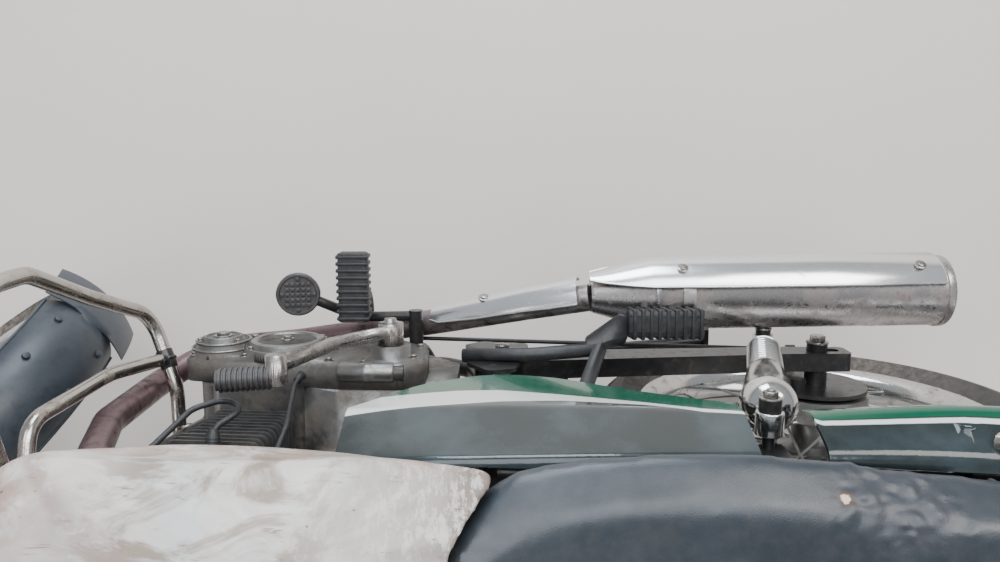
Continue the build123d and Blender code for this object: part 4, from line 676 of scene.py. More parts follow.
def tube(bm, points, radius, sides=20):
    """A round tube along points, its ring carried from one to the next."""
    ways = [(after - before).normalized() for before, after in zip(points, points[1:])]
    place = way_matrix(points[0], points[1])
    ring = bmesh.ops.create_circle(bm, cap_ends=False, segments=sides, radius=radius, matrix=place)["verts"]
    edges = list({edge for vert in ring for edge in vert.link_edges})
    bmesh.ops.contextual_create(bm, geom=edges)
    before_way = ways[0]
    for index in range(1, len(points)):
        way = (ways[index - 1] + ways[min(index, len(ways) - 1)]).normalized()
        grown = bmesh.ops.extrude_edge_only(bm, edges=edges)["geom"]
        edges = [item for item in grown if isinstance(item, bmesh.types.BMEdge)]
        verts = [item for item in grown if isinstance(item, bmesh.types.BMVert)]
        turn = before_way.rotation_difference(way).to_matrix().to_4x4()
        bmesh.ops.transform(bm, verts=verts, matrix=(
            Matrix.Translation(points[index]) @ turn @ Matrix.Translation(-points[index - 1])
        ))
        before_way = way
    bmesh.ops.contextual_create(bm, geom=edges)


def torus(bm, centre, way, radius, thickness, steps=48, sides=10):
    """A round ring about the line through centre."""
    profile = []
    for side in range(sides + 1):
        angle = math.tau * side / sides
        profile.append((radius + thickness * math.cos(angle), thickness * math.sin(angle)))
    lathe(bm, profile, centre, Vector(centre) + Vector(way), steps)


def curved_plate(bm, stations, facing, thickness, bead, steps=18):
    """A plate through stations of point, radius and half angle, with a rolled bead along both sides."""
    points = [Vector(point) for point, radius, half in stations]
    facing = Vector(facing).normalized()
    chains, rims = [], ([], [])
    for index, (point, radius, half) in enumerate(stations):
        way = (points[min(index + 1, len(points) - 1)] - points[max(index - 1, 0)]).normalized()
        outward = (facing - way * facing.dot(way)).normalized()
        half = math.radians(half)
        start = bm.verts.new(points[index] + Matrix.Rotation(-half, 3, way) @ outward * radius)
        spun = bmesh.ops.spin(bm, geom=[start], cent=points[index], axis=way, angle=2 * half, steps=steps,
                              use_merge=False, use_duplicate=False)["geom_last"]
        rims[0].append(start.co.copy())
        rims[1].append(next(item for item in spun if isinstance(item, bmesh.types.BMVert)).co.copy())
        chain, vert = [], start
        while len(chain) < steps:
            edge = next(item for item in vert.link_edges if item not in chain)
            chain.append(edge)
            vert = edge.other_vert(vert)
        chains.append(chain)
    faces = []
    for one, other in zip(chains, chains[1:]):
        faces += bmesh.ops.bridge_loops(bm, edges=one + other)["faces"]
    bmesh.ops.recalc_face_normals(bm, faces=faces)
    bmesh.ops.solidify(bm, geom=faces, thickness=thickness)
    for rim in rims:
        tube(bm, rim, bead, 10)


def hexagon(bm, centre, way, radius, height):
    """A bolt head with a rounded edge and the washer under it."""
    way = Vector(way).normalized()
    centre = Vector(centre)
    rod(bm, centre - way * 0.001, centre + way * 0.0015, radius * 1.45, sides=20, edge=0.0004)
    rod(bm, centre + way * 0.0015, centre + way * height, radius, sides=6, edge=0.0008)


def box(bm, centre, size, place=None, edge=0.0):
    """A block with rounded edges."""
    matrix = (place or Matrix()) @ Matrix.Translation(centre) @ Matrix.Diagonal((*size, 1))
    made = bmesh.ops.create_cube(bm, size=1, matrix=matrix)["verts"]
    if edge:
        rims = {e for v in made for e in v.link_edges}
        bmesh.ops.bevel(bm, geom=list(rims), offset=edge, segments=2, affect="EDGES", profile=0.5,
                        material=-1)


def finish_piece(bm, name, body, finish, matrix=MACHINE, replaces=(), smooth=40):
    """Turn a bmesh drawn on the upright machine into a piece of the parked one."""
    bmesh.ops.remove_doubles(bm, verts=bm.verts, dist=0.00002)
    bmesh.ops.recalc_face_normals(bm, faces=bm.faces)
    bm.transform(matrix)
    mesh = bpy.data.meshes.new(name)
    bm.to_mesh(mesh)
    bm.free()
    mesh.shade_smooth()
    mesh.set_sharp_from_angle(angle=math.radians(smooth))
    obj = bpy.data.objects.new(name, mesh)
    bpy.context.scene.collection.objects.link(obj)
    mesh.materials.append(FINISHES[finish])
    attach(obj, body)
    if replaces:
        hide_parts(*replaces)
    return obj


def copy_of_node(node, name):
    """A merged copy of a CAD node's mesh as a free object."""
    bm = bmesh.new()
    bm.from_mesh(frame["nodes"][node].data)
    bmesh.ops.remove_doubles(bm, verts=bm.verts, dist=0.00005)
    mesh = bpy.data.meshes.new(name)
    bm.to_mesh(mesh)
    bm.free()
    obj = bpy.data.objects.new(name, mesh)
    bpy.context.scene.collection.objects.link(obj)
    return obj


def apply_modifiers(obj):
    graph = bpy.context.evaluated_depsgraph_get()
    mesh = bpy.data.meshes.new_from_object(obj.evaluated_get(graph))
    obj.modifiers.clear()
    obj.data = mesh


def step(value, low, high):
    """Smooth step from 0 at low to 1 at high."""
    t = min(max((value - low) / (high - low), 0.0), 1.0)
    return t * t * (3 - 2 * t)


def line_value(points, x):
    """Value of a measured polyline at x, its points in rising x."""
    for (x0, y0), (x1, y1) in zip(points, points[1:]):
        if x <= x1:
            return y0 + (y1 - y0) * max(0.0, (x - x0) / (x1 - x0))
    return points[-1][1]


# Stage: camera's place ahead of the rear axle and to its right, the lights and the sky
CAMERA_AHEAD, CAMERA_RIGHT = 0.438, 0.076
CAMERA_SENSOR = 36
FLOOR_REACH = 14
LIGHT_AIM = Vector((0, 0, 0.5))
# Name, place, size, power and tint
LIGHTS = [
    ("sky", (0.2, -1.5, 3.4), 2.6, 115, (0.9, 0.95, 1.0)),
    ("key", (-1.8, -2.2, 2.8), 1.6, 75, (1.0, 0.98, 0.95)),
    ("fill", (2.6, 1.6, 2.4), 2.2, 50, (1.0, 0.97, 0.94)),
    ("back", (-2.6, 2.4, 2.0), 2.0, 45, (0.95, 0.97, 1.0)),
    ("side", (0.1, -2.5, 1.0), 1.1, 48, (0.82, 0.91, 1.0)),
]
SKY_TINT, SKY_STRENGTH = (0.74, 0.79, 0.85, 1), 0.6


# Operators
class MOTO_OT_stage(bpy.types.Operator):
    """Pale floor, soft studio lights and the camera of the photograph"""
    bl_idname = "moto.stage"
    bl_label = "Stage"

    def execute(self, context):
        settings = context.scene.moto_stage
        bm = bmesh.new()
        bmesh.ops.create_grid(bm, x_segments=1, y_segments=1, size=FLOOR_REACH)
        mesh = bpy.data.meshes.new("floor")
        bm.to_mesh(mesh)
        bm.free()
        floor = bpy.data.objects.new("floor", mesh)
        context.scene.collection.objects.link(floor)
        material, graph, shader, place = start_material("floor_plain")
        tone = graph.blend(graph.noise(place, 3.0, 6, 0.6), settings.floor,
                           tuple(c * 0.92 for c in settings.floor))
        wire(graph, shader, base_color=tone, roughness=0.8)
        mesh.materials.append(material)
        camera_data = bpy.data.cameras.new("camera")
        camera_data.lens = settings.focal
        camera_data.sensor_width = CAMERA_SENSOR
        camera = bpy.data.objects.new("camera", camera_data)
        context.scene.collection.objects.link(camera)
        s, c = math.sin(settings.tilt), math.cos(settings.tilt)
        basis = Matrix(((-1, 0, 0), (0, -c, s), (0, s, c))).to_4x4()
        wheel_foot = REAR_AXLE.y - AXLE_HEIGHT * math.sin(LEAN)
        place = Vector((REAR_AXLE.x + CAMERA_AHEAD, wheel_foot - CAMERA_RIGHT, settings.height))
        camera.matrix_world = Matrix.Translation(place) @ basis
        context.scene.camera = camera
        for name, where, size, power, tint in LIGHTS:
            light_data = bpy.data.lights.new(name, "AREA")
            light_data.size = size
            light_data.energy = power
            light_data.color = tint
            light = bpy.data.objects.new(name, light_data)
            light.location = where
            light.rotation_euler = (LIGHT_AIM - Vector(where)).to_track_quat("-Z", "Y").to_euler()
            context.scene.collection.objects.link(light)
        world = bpy.data.worlds.new("soft_sky")
        world.use_nodes = True
        background = world.node_tree.nodes["Background"]
        background.inputs["Color"].default_value = SKY_TINT
        background.inputs["Strength"].default_value = SKY_STRENGTH
        context.scene.world = world
        return {"FINISHED"}


class MOTO_OT_finishes(bpy.types.Operator):
    """Worn finishes on every CAD node"""
    bl_idname = "moto.finishes"
    bl_label = "Finishes"

    def execute(self, context):
        FINISHES.update(make_finishes(context.scene.moto_finish))
        for finish, nodes in NODE_FINISH.items():
            for node in nodes:
                dress(frame["nodes"][node], finish)
        return {"FINISHED"}


# Forms of the tank and the seat: how wide the crease runs out, where the knee recess starts and
# ends, the tank's dents, the softening, and how the seat's cover is blown up
CREASE_RUN = 0.02
RECESS_HEIGHT, RECESS_REAR, RECESS_FRONT = (0.715, 0.78), (0.44, 0.5), (0.84, 0.88)
DENT_DEPTH, DENT_SCALE = 0.001, 9
SMOOTH_SHARE = 0.5
TANK_PASSES, SEAT_PASSES, COVER_PASSES = 6, 4, 8
SEAT_VOXEL_SHARE = 1.1
COVER_PRESSURE, COVER_FRAMES = 4, 20


def remeshed_copy(node, name, voxel, passes):
    """A copy of a CAD node in even faces, its edges softened."""
    obj = copy_of_node(node, name)
    remesh = obj.modifiers.new("remesh", "REMESH")
    remesh.mode = "VOXEL"
    remesh.voxel_size = voxel
    smooth = obj.modifiers.new("smooth", "SMOOTH")
    smooth.factor, smooth.iterations = SMOOTH_SHARE, passes
    apply_modifiers(obj)
    return obj


class MOTO_OT_tank(bpy.types.Operator):
    """Fuel tank with its knee recesses and creases"""
    bl_idname = "moto.tank"
    bl_label = "Tank"

    def execute(self, context):
        shape = context.scene.moto_shape
        obj = remeshed_copy("fuel_tank", "tank_shell", shape.voxel, TANK_PASSES)
        bm = bmesh.new()
        bm.from_mesh(obj.data)
        bm.transform(UPRIGHT)
        bm.normal_update()
        for vert in bm.verts:
            x, y, z = vert.co
            inner = line_value(CREASE, x)
            inside = step(abs(y), inner, inner + CREASE_RUN) * step(z, *RECESS_HEIGHT) * step(x, *RECESS_REAR)
            vert.co -= vert.normal * shape.recess * inside * (1 - step(x, *RECESS_FRONT))
            vert.co += vert.normal * DENT_DEPTH * noise.noise(vert.co * DENT_SCALE)
        obj.data.clear_geometry()
        bm.transform(MACHINE)
        bm.to_mesh(obj.data)
        bm.free()
        obj.data.shade_smooth()
        dress(obj, "primer")
        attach(obj, "chassis")
        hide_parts("fuel_tank")
        return {"FINISHED"}


class MOTO_OT_seat(bpy.types.Operator):
    """Long seat: a stretched vinyl cover with its crumpled patch"""
    bl_idname = "moto.seat"
    bl_label = "Seat"

    def execute(self, context):
        shape = context.scene.moto_shape
        obj = remeshed_copy("seat", "seat_cover", shape.voxel * SEAT_VOXEL_SHARE, SEAT_PASSES)
        start = [v.co.copy() for v in obj.data.vertices]
        cloth = obj.modifiers.new("cloth", "CLOTH")
        cloth.settings.use_pressure = True
        cloth.settings.uniform_pressure_force = COVER_PRESSURE
        cloth.settings.effector_weights.gravity = 0
        for number in range(1, COVER_FRAMES + 1):
            context.scene.frame_set(number)
        apply_modifiers(obj)
        context.scene.frame_set(1)
        bm = bmesh.new()
        bm.from_mesh(obj.data)
        bm.verts.ensure_lookup_table()
        for vert, before in zip(bm.verts, start):
            moved = vert.co - before
            if moved.length > shape.seat_swell:
                vert.co = before + moved.normalized() * shape.seat_swell
        for _ in range(COVER_PASSES):
            bmesh.ops.smooth_vert(bm, verts=bm.verts, factor=SMOOTH_SHARE, use_axis_x=True, use_axis_y=True,
                                  use_axis_z=True)
        bm.transform(UPRIGHT)
        bm.normal_update()
        for vert in bm.verts:
            x, y, z = vert.co
            away = math.hypot((x - TORN_PLACE.x) / TORN_LENGTH, (y - TORN_PLACE.y) / TORN_WIDTH)
            torn = 1 - step(away, *TORN_RANGE)
            if torn > 0 and z > SEAT_EDGE:
                crumple = noise.turbulence(vert.co * CRUMPLE_SCALE, 3, True)
                vert.co += vert.normal * (crumple - CRUMPLE_LEVEL) * CRUMPLE_DEPTH * torn
        bm.transform(MACHINE)
        bm.to_mesh(obj.data)
        bm.free()
        subdivision = obj.modifiers.new("subdivision", "SUBSURF")
        subdivision.levels = subdivision.render_levels = 1
        obj.data.shade_smooth()
        dress(obj, "vinyl")
        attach(obj, "chassis")
        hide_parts("seat")
        return {"FINISHED"}


# Tyres: outer radius and width of each, radii of the bead and the lip, and the tread's blocks
REAR_TYRE, FRONT_TYRE = (0.305, 0.082), (0.299, 0.072)
TYRE_BEAD, TYRE_LIP = 0.2295, 0.242
BLOCK_INSET, BLOCK_HEIGHT = 0.0006, 0.0024
TREAD_ROWS = 5.2


def tyre(name, node, body, axle, matrix, size, blocks):
    """Road tyre: rounded carcass, side ribs and a block tread cut by grooves."""
    radius, half = size[0], size[1] / 2
    bead, lip = TYRE_BEAD, TYRE_LIP
    profile = [(bead, -0.0215), (lip, -0.0225), (0.247, -0.0255), (0.262, -half * 0.9)]
    centre = radius - half
    for angle in range(-86, 87, 10):
        a = math.radians(angle)
        profile.append((centre + half * 0.995 * math.cos(a) - (0.0 if abs(angle) > 60 else 0.0028),
                        half * 0.995 * math.sin(a)))
    profile += [(0.262, half * 0.9), (0.247, 0.0255), (lip, 0.0225), (bead, 0.0215), (bead, -0.0215)]
    bm = bmesh.new()
    lathe(bm, profile, axle, axle + Vector((0, 0.1, 0)), steps=blocks * 2)
    bmesh.ops.remove_doubles(bm, verts=bm.verts, dist=0.00002)
    bmesh.ops.recalc_face_normals(bm, faces=bm.faces)
    tread = []
    for face in bm.faces:
        centre_point = face.calc_center_median() - axle
        out = math.hypot(centre_point.x, centre_point.z)
        if out < centre + half * 0.5:
            continue
        turn = math.atan2(centre_point.z, centre_point.x) / math.tau * blocks
        side = centre_point.y / half
        band = round(side * TREAD_ROWS)
        if band in (-2, 2):
            continue
        phase = (turn + abs(side) * 0.9 + (0.5 if band > 0 else 0)) % 1
        if abs(band) <= 1 or phase > 0.5:
            tread.append(face)
    bmesh.ops.inset_individual(bm, faces=tread, thickness=BLOCK_INSET, depth=0.0)
    lifted = bmesh.ops.extrude_discrete_faces(bm, faces=tread)["faces"]
    for face in lifted:
        away = face.calc_center_median() - axle
        away.y *= 0.6
        bmesh.ops.translate(bm, verts=face.verts, vec=away.normalized() * BLOCK_HEIGHT)
    finish_piece(bm, name, body, "tyre", matrix, [node], 35)


class MOTO_OT_tyres(bpy.types.Operator):
    """Both tyres with their tread"""
    bl_idname = "moto.tyres"
    bl_label = "Tyres"

    def execute(self, context):
        blocks = context.scene.moto_shape.tread_steps
        rear = Vector((0, 0, AXLE_HEIGHT))
        tyre("tyre_rear_road", "rear_tyre", "rear_wheel", rear, MACHINE, REAR_TYRE, blocks)
        tyre("tyre_front_road", "front_tyre", "front_wheel", FRONT_AXLE, STEERED, FRONT_TYRE, blocks)
        return {"FINISHED"}


# Bosses inside the tail cowl that end flush with its skin: X, Z, skin half width there and its slope
COWL_BOSSES = [(0.02, 0.722, 0.1404, 0.577), (-0.12, 0.734, 0.1338, 0.68)]
BOSS_REACH = 0.0085


def smooth_copy(node, body, finish, slot, angle=32):
    """A merged and softly shaded copy that takes a CAD node's place."""
    obj = copy_of_node(node, node + "_smooth")
    if node == "tail_cowl":
        for vert in obj.data.vertices:
            place = UPRIGHT @ vert.co
            for x, z, half, slope in COWL_BOSSES:
                limit = half - (place.z - z) * slope
                if math.hypot(place.x - x, place.z - z) < BOSS_REACH and abs(place.y) > limit:
                    place.y = math.copysign(limit, place.y)
                    vert.co = MACHINE @ place
    obj.data.shade_smooth()
    obj.data.set_sharp_from_angle(angle=math.radians(angle))
    dress(obj, finish)
    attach(obj, body)
    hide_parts(node)


# Nodes that get a smoothed copy: node, body, finish and material slot
SMOOTHED = [
    ("side_covers", "chassis", "panel", "dark_paint"),
    ("tail_cowl", "chassis", "panel", "dark_paint"),
    ("front_mudguard", "steering", "guard", "guard_plastic"),
    ("rear_mudguard", "chassis", "guard", "guard_plastic"),
    ("headlamp_cowl", "steering", "panel", "guard_plastic"),
    ("instruments", "steering", "plastic", "guard_plastic"),
    ("front_rim", "front_wheel", "rim_chrome", "chrome"),
    ("rear_rim", "rear_wheel", "rim_chrome", "chrome"),
    ("clutch_cover", "chassis", "casting", "casting"),
    ("magneto_cover", "chassis", "bright_casting", "casting"),
    ("engine_case", "chassis", "casting", "casting"),
    ("fork_legs", "steering", "bright_casting", "casting"),
    ("kick_lever", "chassis", "bare_steel", "exhaust_steel"),
    ("tail_lamp", "chassis", "red_lens", "lamp_red"),
    ("passenger_pegs", "chassis", "rubber", "peg_rubber"),
    ("cables", "chassis", "rubber", "peg_rubber"),
    ("gear_lever", "chassis", "bare_steel", "exhaust_steel"),
    ("yokes", "steering", "bright_casting", "casting"),
]


class MOTO_OT_shells(bpy.types.Operator):
    """Panels, mudguards, castings and rims with their facets smoothed away"""
    bl_idname = "moto.shells"
    bl_label = "Shells and castings"

    def execute(self, context):
        for row in SMOOTHED:
            smooth_copy(*row)
        return {"FINISHED"}


# Exhaust: the port that the header starts from, its route and bends, and the silencer's line
PIPE_RADIUS = 0.018
PORT_FOOT = Vector((0.768, -0.008, 0.587))
PORT_FACE = Vector((0.824, -0.026, 0.58))
PORT_WAY = (PORT_FACE - PORT_FOOT).normalized()
HEADER = [PORT_FACE + PORT_WAY * 0.0003, PORT_FACE + PORT_WAY * 0.0623, (0.915, -0.054, 0.455),
          (0.912, -0.06, 0.3), (0.862, -0.088, 0.216), (0.74, -0.098, 0.212), (0.52, -0.138, 0.252),
          (0.4, -0.17, 0.314), (0.318, -0.186, 0.334)]
HEADER_BENDS = [0.04, 0.06, 0.1, 0.11, 0.12, 0.15, 0.15]
SHOULDER = Vector((0.236, -0.19, 0.334))
SILENCER_END = Vector((-0.15, -0.195, 0.33))
SILENCER_RADIUS = 0.046
SHIELD_FACING = Vector((0, -1, 0.35)).normalized()
BOLT_FACING = Vector((0, -0.75, 0.66)).normalized()
STRAP, STRAP_HALF = 0.041, 0.009
SHIELD_PLATE = 0.0012
BOLT_PLACES = (0.033, 0.34)
# Stations of the heat shields: point, radius and half angle
SILENCER_SHIELD = [(-0.084, 0.0315, 22), (-0.066, 0.0355, 34), (-0.03, 0.0455, 46), (-0.004, 0.0512, 50),
                   (0.1, 0.0517, 51), (0.22, 0.0517, 51), (0.368, 0.0517, 50), (0.372, 0.0488, 49)]
HEADER_SHIELD = [((0.528, -0.1365, 0.249), 0.0225, 50), ((0.515, -0.139, 0.2545), 0.0238, 62),
                 ((0.46, -0.1535, 0.282), 0.0255, 68), ((0.4, -0.1693, 0.3105), 0.0278, 68),
                 ((0.362, -0.1765, 0.3235), 0.0298, 66), ((0.33, -0.1825, 0.331), 0.0318, 64)]


def along_silencer(distance):
    return SHOULDER + (SILENCER_END - SHOULDER).normalized() * distance


class MOTO_OT_exhaust(bpy.types.Operator):
    """Header pipe, silencer with its seams and tail cap, heat shields, strap and bolts"""
    bl_idname = "moto.exhaust"
    bl_label = "Exhaust"

    def execute(self, context):
        bm = bmesh.new()
        tube(bm, rounded_route(HEADER, HEADER_BENDS), PIPE_RADIUS, 32)
        flange = place_at(PORT_FACE + PORT_WAY * 0.0003, PORT_WAY)
        box(bm, (0, 0, 0.0035), (0.036, 0.058, 0.007), flange, 0.002)
        for side in (-1, 1):
            bolt = flange @ Vector((0, side * 0.022, 0.006))
            hexagon(bm, bolt, PORT_WAY, 0.0055, 0.007)
        finish_piece(bm, "header_pipe", "chassis", "hot_steel", replaces=["exhaust_pipe"])

        bm = bmesh.new()
        seam, r = 0.0016, SILENCER_RADIUS
        profile = [
            (0.0, -0.08), (0.0215, -0.082), (0.0235, -0.078), (r - 0.001, -0.004), (r + seam, -0.001),
            (r + seam, 0.004), (r, 0.006), (r, 0.374), (r + seam, 0.3755), (r + seam, 0.3825),
            (r + 0.0006, 0.3845), (r - 0.0025, 0.3858), (r - 0.005, 0.385),
            (r - 0.0065, 0.3825), (0.0, 0.3815),
        ]
        lathe(bm, profile, SHOULDER, SILENCER_END, 72)
        outlet = along_silencer(0.38) - Vector((0, 0, 0.008))
        lathe(bm, [(0.0105, 0), (0.013, 0), (0.013, 0.021), (0.0105, 0.021), (0.0105, 0)], outlet,
              outlet + SILENCER_END - SHOULDER, 32)
        low, high, outer = STRAP - STRAP_HALF, STRAP + STRAP_HALF, r + 0.002
        lathe(bm, [(r, low), (outer, low + 0.001), (outer, high - 0.001), (r, high),
                   (r - 0.001, STRAP), (r, low)], SHOULDER, SILENCER_END, 72)
        lug = along_silencer(STRAP)
        ear = place_at(lug + Vector((0, 0.02, 0.053)), (0, 0.3, 1), (0, 1, 0))
        box(bm, (0, 0, 0), (0.016, 0.006, 0.03), ear, 0.0015)
        hexagon(bm, lug + Vector((0, 0.024, 0.06)), (0, 1, -0.2), 0.006, 0.008)
        finish_piece(bm, "silencer_body", "chassis", "satin_steel", replaces=["silencer"])

        bm = bmesh.new()
        stations = [(along_silencer(distance), radius, half) for distance, radius, half in SILENCER_SHIELD]
        curved_plate(bm, stations, SHIELD_FACING, SHIELD_PLATE, 0.0017)
        curved_plate(bm, HEADER_SHIELD, (0, -1, 0.5), SHIELD_PLATE, 0.0015)
        finish_piece(bm, "heat_shield_plates", "chassis", "shield_chrome",
                     replaces=["heat_shields"])

        bm = bmesh.new()
        for distance in BOLT_PLACES:
            foot = along_silencer(distance)
            rod(bm, foot + BOLT_FACING * (SILENCER_RADIUS - 0.001), foot + BOLT_FACING * 0.053, 0.0055)
            hexagon(bm, foot + BOLT_FACING * 0.0533, BOLT_FACING, 0.0048, 0.0034)
        foot, out = Vector((0.46, -0.154, 0.283)), Vector((0, -0.894, 0.447))
        rod(bm, foot + out * 0.017, foot + out * 0.027, 0.006)
        hexagon(bm, foot + out * 0.0275, out, 0.0055, 0.004)
        finish_piece(bm, "shield_bolts", "chassis", "bare_steel")
        return {"FINISHED"}


# Shock absorbers: middles of the lower and the upper eye of the left one, and the spring's rings
SHOCK_FOOT = Vector((0.085, 0.126, 0.335))
SHOCK_TOP = Vector((0.178, 0.122, 0.662))
SHOCK_RINGS, RING_PITCH = 10, 0.0108


class MOTO_OT_shocks(bpy.types.Operator):
    """Both shock absorbers: eyes, spring rings and the chrome shroud"""
    bl_idname = "moto.shocks"
    bl_label = "Shock absorbers"

    def execute(self, context):
        bm = bmesh.new()
        length = (SHOCK_TOP - SHOCK_FOOT).length
        for side in (-1, 1):
            turn = Vector((1, side, 1))
            foot, top = SHOCK_FOOT * turn, SHOCK_TOP * turn
            profile = [(0.0, 0.008), (0.0098, 0.01), (0.0098, 0.046), (0.02, 0.05), (0.0212, 0.052),
                       (0.0212, 0.057), (0.0165, 0.059)]
            for ring in range(SHOCK_RINGS):
                middle = 0.066 + ring * RING_PITCH
                profile += [(0.0172, middle - 0.0052), (0.0205, middle - 0.0038), (0.0218, middle),
                            (0.0205, middle + 0.0038)]
            profile += [(0.0172, 0.17), (0.0215, 0.171), (0.0222, 0.174), (0.0265, 0.245), (0.0285, 0.272),
                        (0.0298, 0.279), (0.0298, 0.285), (0.0275, 0.289), (0.0255, 0.297), (0.018, 0.304),
                        (0.0125, 0.307), (0.0108, 0.312), (0.0108, length - 0.008), (0.0, length - 0.008)]
            lathe(bm, profile, foot, top, 56)
            for eye in (foot, top):
                rod(bm, eye - Vector((0, 0.0117, 0)), eye + Vector((0, 0.0117, 0)), 0.0138, sides=32,
                    edge=0.0012)
        finish_piece(bm, "shock_absorbers", "chassis", "shock_chrome", replaces=["shocks"],
                     smooth=50)

        bm = bmesh.new()
        for side in (-1, 1):
            for eye, reach in ((SHOCK_FOOT, 0.144), (SHOCK_TOP, 0.146)):
                hexagon(bm, (eye.x, side * reach, eye.z), (0, side, 0), 0.0075, 0.008)
                rod(bm, (eye.x, side * (reach + 0.007), eye.z), (eye.x, side * (reach + 0.01), eye.z), 0.0045,
                    sides=16, edge=0.001)
        finish_piece(bm, "shock_nuts", "chassis", "bare_steel")
        return {"FINISHED"}


# Bent tubes: the leg guard's left half, the grab rail and the left half of the handlebar, the last
# ahead of the steering axis, left of it and above the head
GUARD_TUBE = 0.0095
GUARD_LOOP = [(0.876, 0.06, 0.334), (0.914, 0.158, 0.312), (0.934, 0.205, 0.44), (0.946, 0.25, 0.55),
              (0.952, 0.246, 0.628), (0.95, 0.12, 0.642), (0.942, 0.012, 0.616)]
GUARD_BENDS = [0.06, 0.04, 0.12, 0.06, 0.04, 0.06]
RAIL_LOOP = [(0.004, -0.132, 0.742), (-0.03, -0.134, 0.796), (-0.14, -0.124, 0.82), (-0.222, -0.084, 0.838),
             (-0.222, 0.084, 0.838), (-0.14, 0.124, 0.82), (-0.03, 0.134, 0.796), (0.004, 0.132, 0.742)]
RAIL_BENDS = [0.03, 0.08, 0.04, 0.04, 0.08, 0.03]
BAR_RADIUS = 0.011
BAR_ROUTE = [(0.008, 0.06, 0.046), (0.0, 0.13, 0.15), (-0.02, 0.205, 0.19), (-0.088, 0.366, 0.182)]
BAR_BENDS = [0.06, 0.06, 0.04, 0.04, 0.06, 0.06]


class MOTO_OT_tubes(bpy.types.Operator):
    """Leg guard, grab rail and handlebar as smooth bent tubes"""
    bl_idname = "moto.tubes"
    bl_label = "Leg guard, rail and handlebar"

    def execute(self, context):
        bm = bmesh.new()
        mirrored = [(x, -y, z) for x, y, z in reversed(GUARD_LOOP)]
        tube(bm, rounded_route(mirrored + GUARD_LOOP, GUARD_BENDS[::-1] + GUARD_BENDS), GUARD_TUBE, 28)
        for side in (-1, 1):
            brace = [(0.893, side * 0.1, 0.326), (0.926, side * 0.104, 0.42), (0.952, side * 0.088, 0.56),
                     (0.944, side * 0.01, 0.596)]
            tube(bm, rounded_route(brace, [0.12, 0.04]), GUARD_TUBE - 0.0005, 24)
        rod(bm, (0.942, -0.017, 0.61), (0.942, 0.017, 0.61), GUARD_TUBE + 0.003, sides=32, edge=0.001)
        rod(bm, (0.876, 0, 0.334), (0.86, 0, 0.3355), 0.012, sides=32, edge=0.001)
        rod(bm, (0.942, 0, 0.61), (0.918, 0, 0.611), 0.011, sides=32, edge=0.001)
        finish_piece(bm, "leg_guard_tubes", "chassis", "guard_chrome", replaces=["leg_guard"],
                     smooth=50)

        bm = bmesh.new()
        for side in (-1, 1):
            start = Vector((0.876, side * 0.06, 0.334))
            way = (Vector((0.914, side * 0.158, 0.312)) - start).normalized()
            torus(bm, start + way * 0.043, way, GUARD_TUBE + 0.0012, 0.0028, 32)
            rod(bm, start + way * 0.03, start + way * 0.056, GUARD_TUBE + 0.0016, sides=32, edge=0.001)
            hexagon(bm, start + way * 0.043 + Vector((0, 0, 0.011)), (0, 0, 1), 0.006, 0.007)
        finish_piece(bm, "guard_clamps", "chassis", "frame")

        bm = bmesh.new()
        tube(bm, rounded_route(RAIL_LOOP, RAIL_BENDS), 0.008, 24)
        for side in (-1, 1):
            rod(bm, (-0.178, side * 0.078, 0.744), (-0.19, side * 0.098, 0.829), 0.007)
        finish_piece(bm, "grab_rail_tube", "chassis", "guard_chrome", replaces=["grab_rail"],
                     smooth=50)

        bm = bmesh.new()
        right = [head_point(HEAD_LENGTH + up, ahead, -left) for ahead, left, up in reversed(BAR_ROUTE)]
        left_side = [head_point(HEAD_LENGTH + up, ahead, left) for ahead, left, up in BAR_ROUTE]
        tube(bm, rounded_route(right + left_side, BAR_BENDS), BAR_RADIUS, 28)
        finish_piece(bm, "handlebar_tube", "steering", "guard_chrome", STEERED,
                     ["handlebar"], 50)
        return {"FINISHED"}


def ribbed_block(bm, place, size, length, ribs, slant=0.0):
    """Ribs round a rubber block that runs along the place's Z."""
    pitch = length / ribs
    for rib in range(ribs):
        tilted = place @ Matrix.Translation((0, 0, pitch * (rib + 0.5))) @ Matrix.Rotation(slant, 4, "X")
        box(bm, (0, 0, 0), (size[0], size[1], pitch * 0.52), tilted, 0.0016)
    box(bm, (0, 0, length / 2), (size[0] * 0.9, size[1] * 0.88, length + 0.002), place, 0.004)


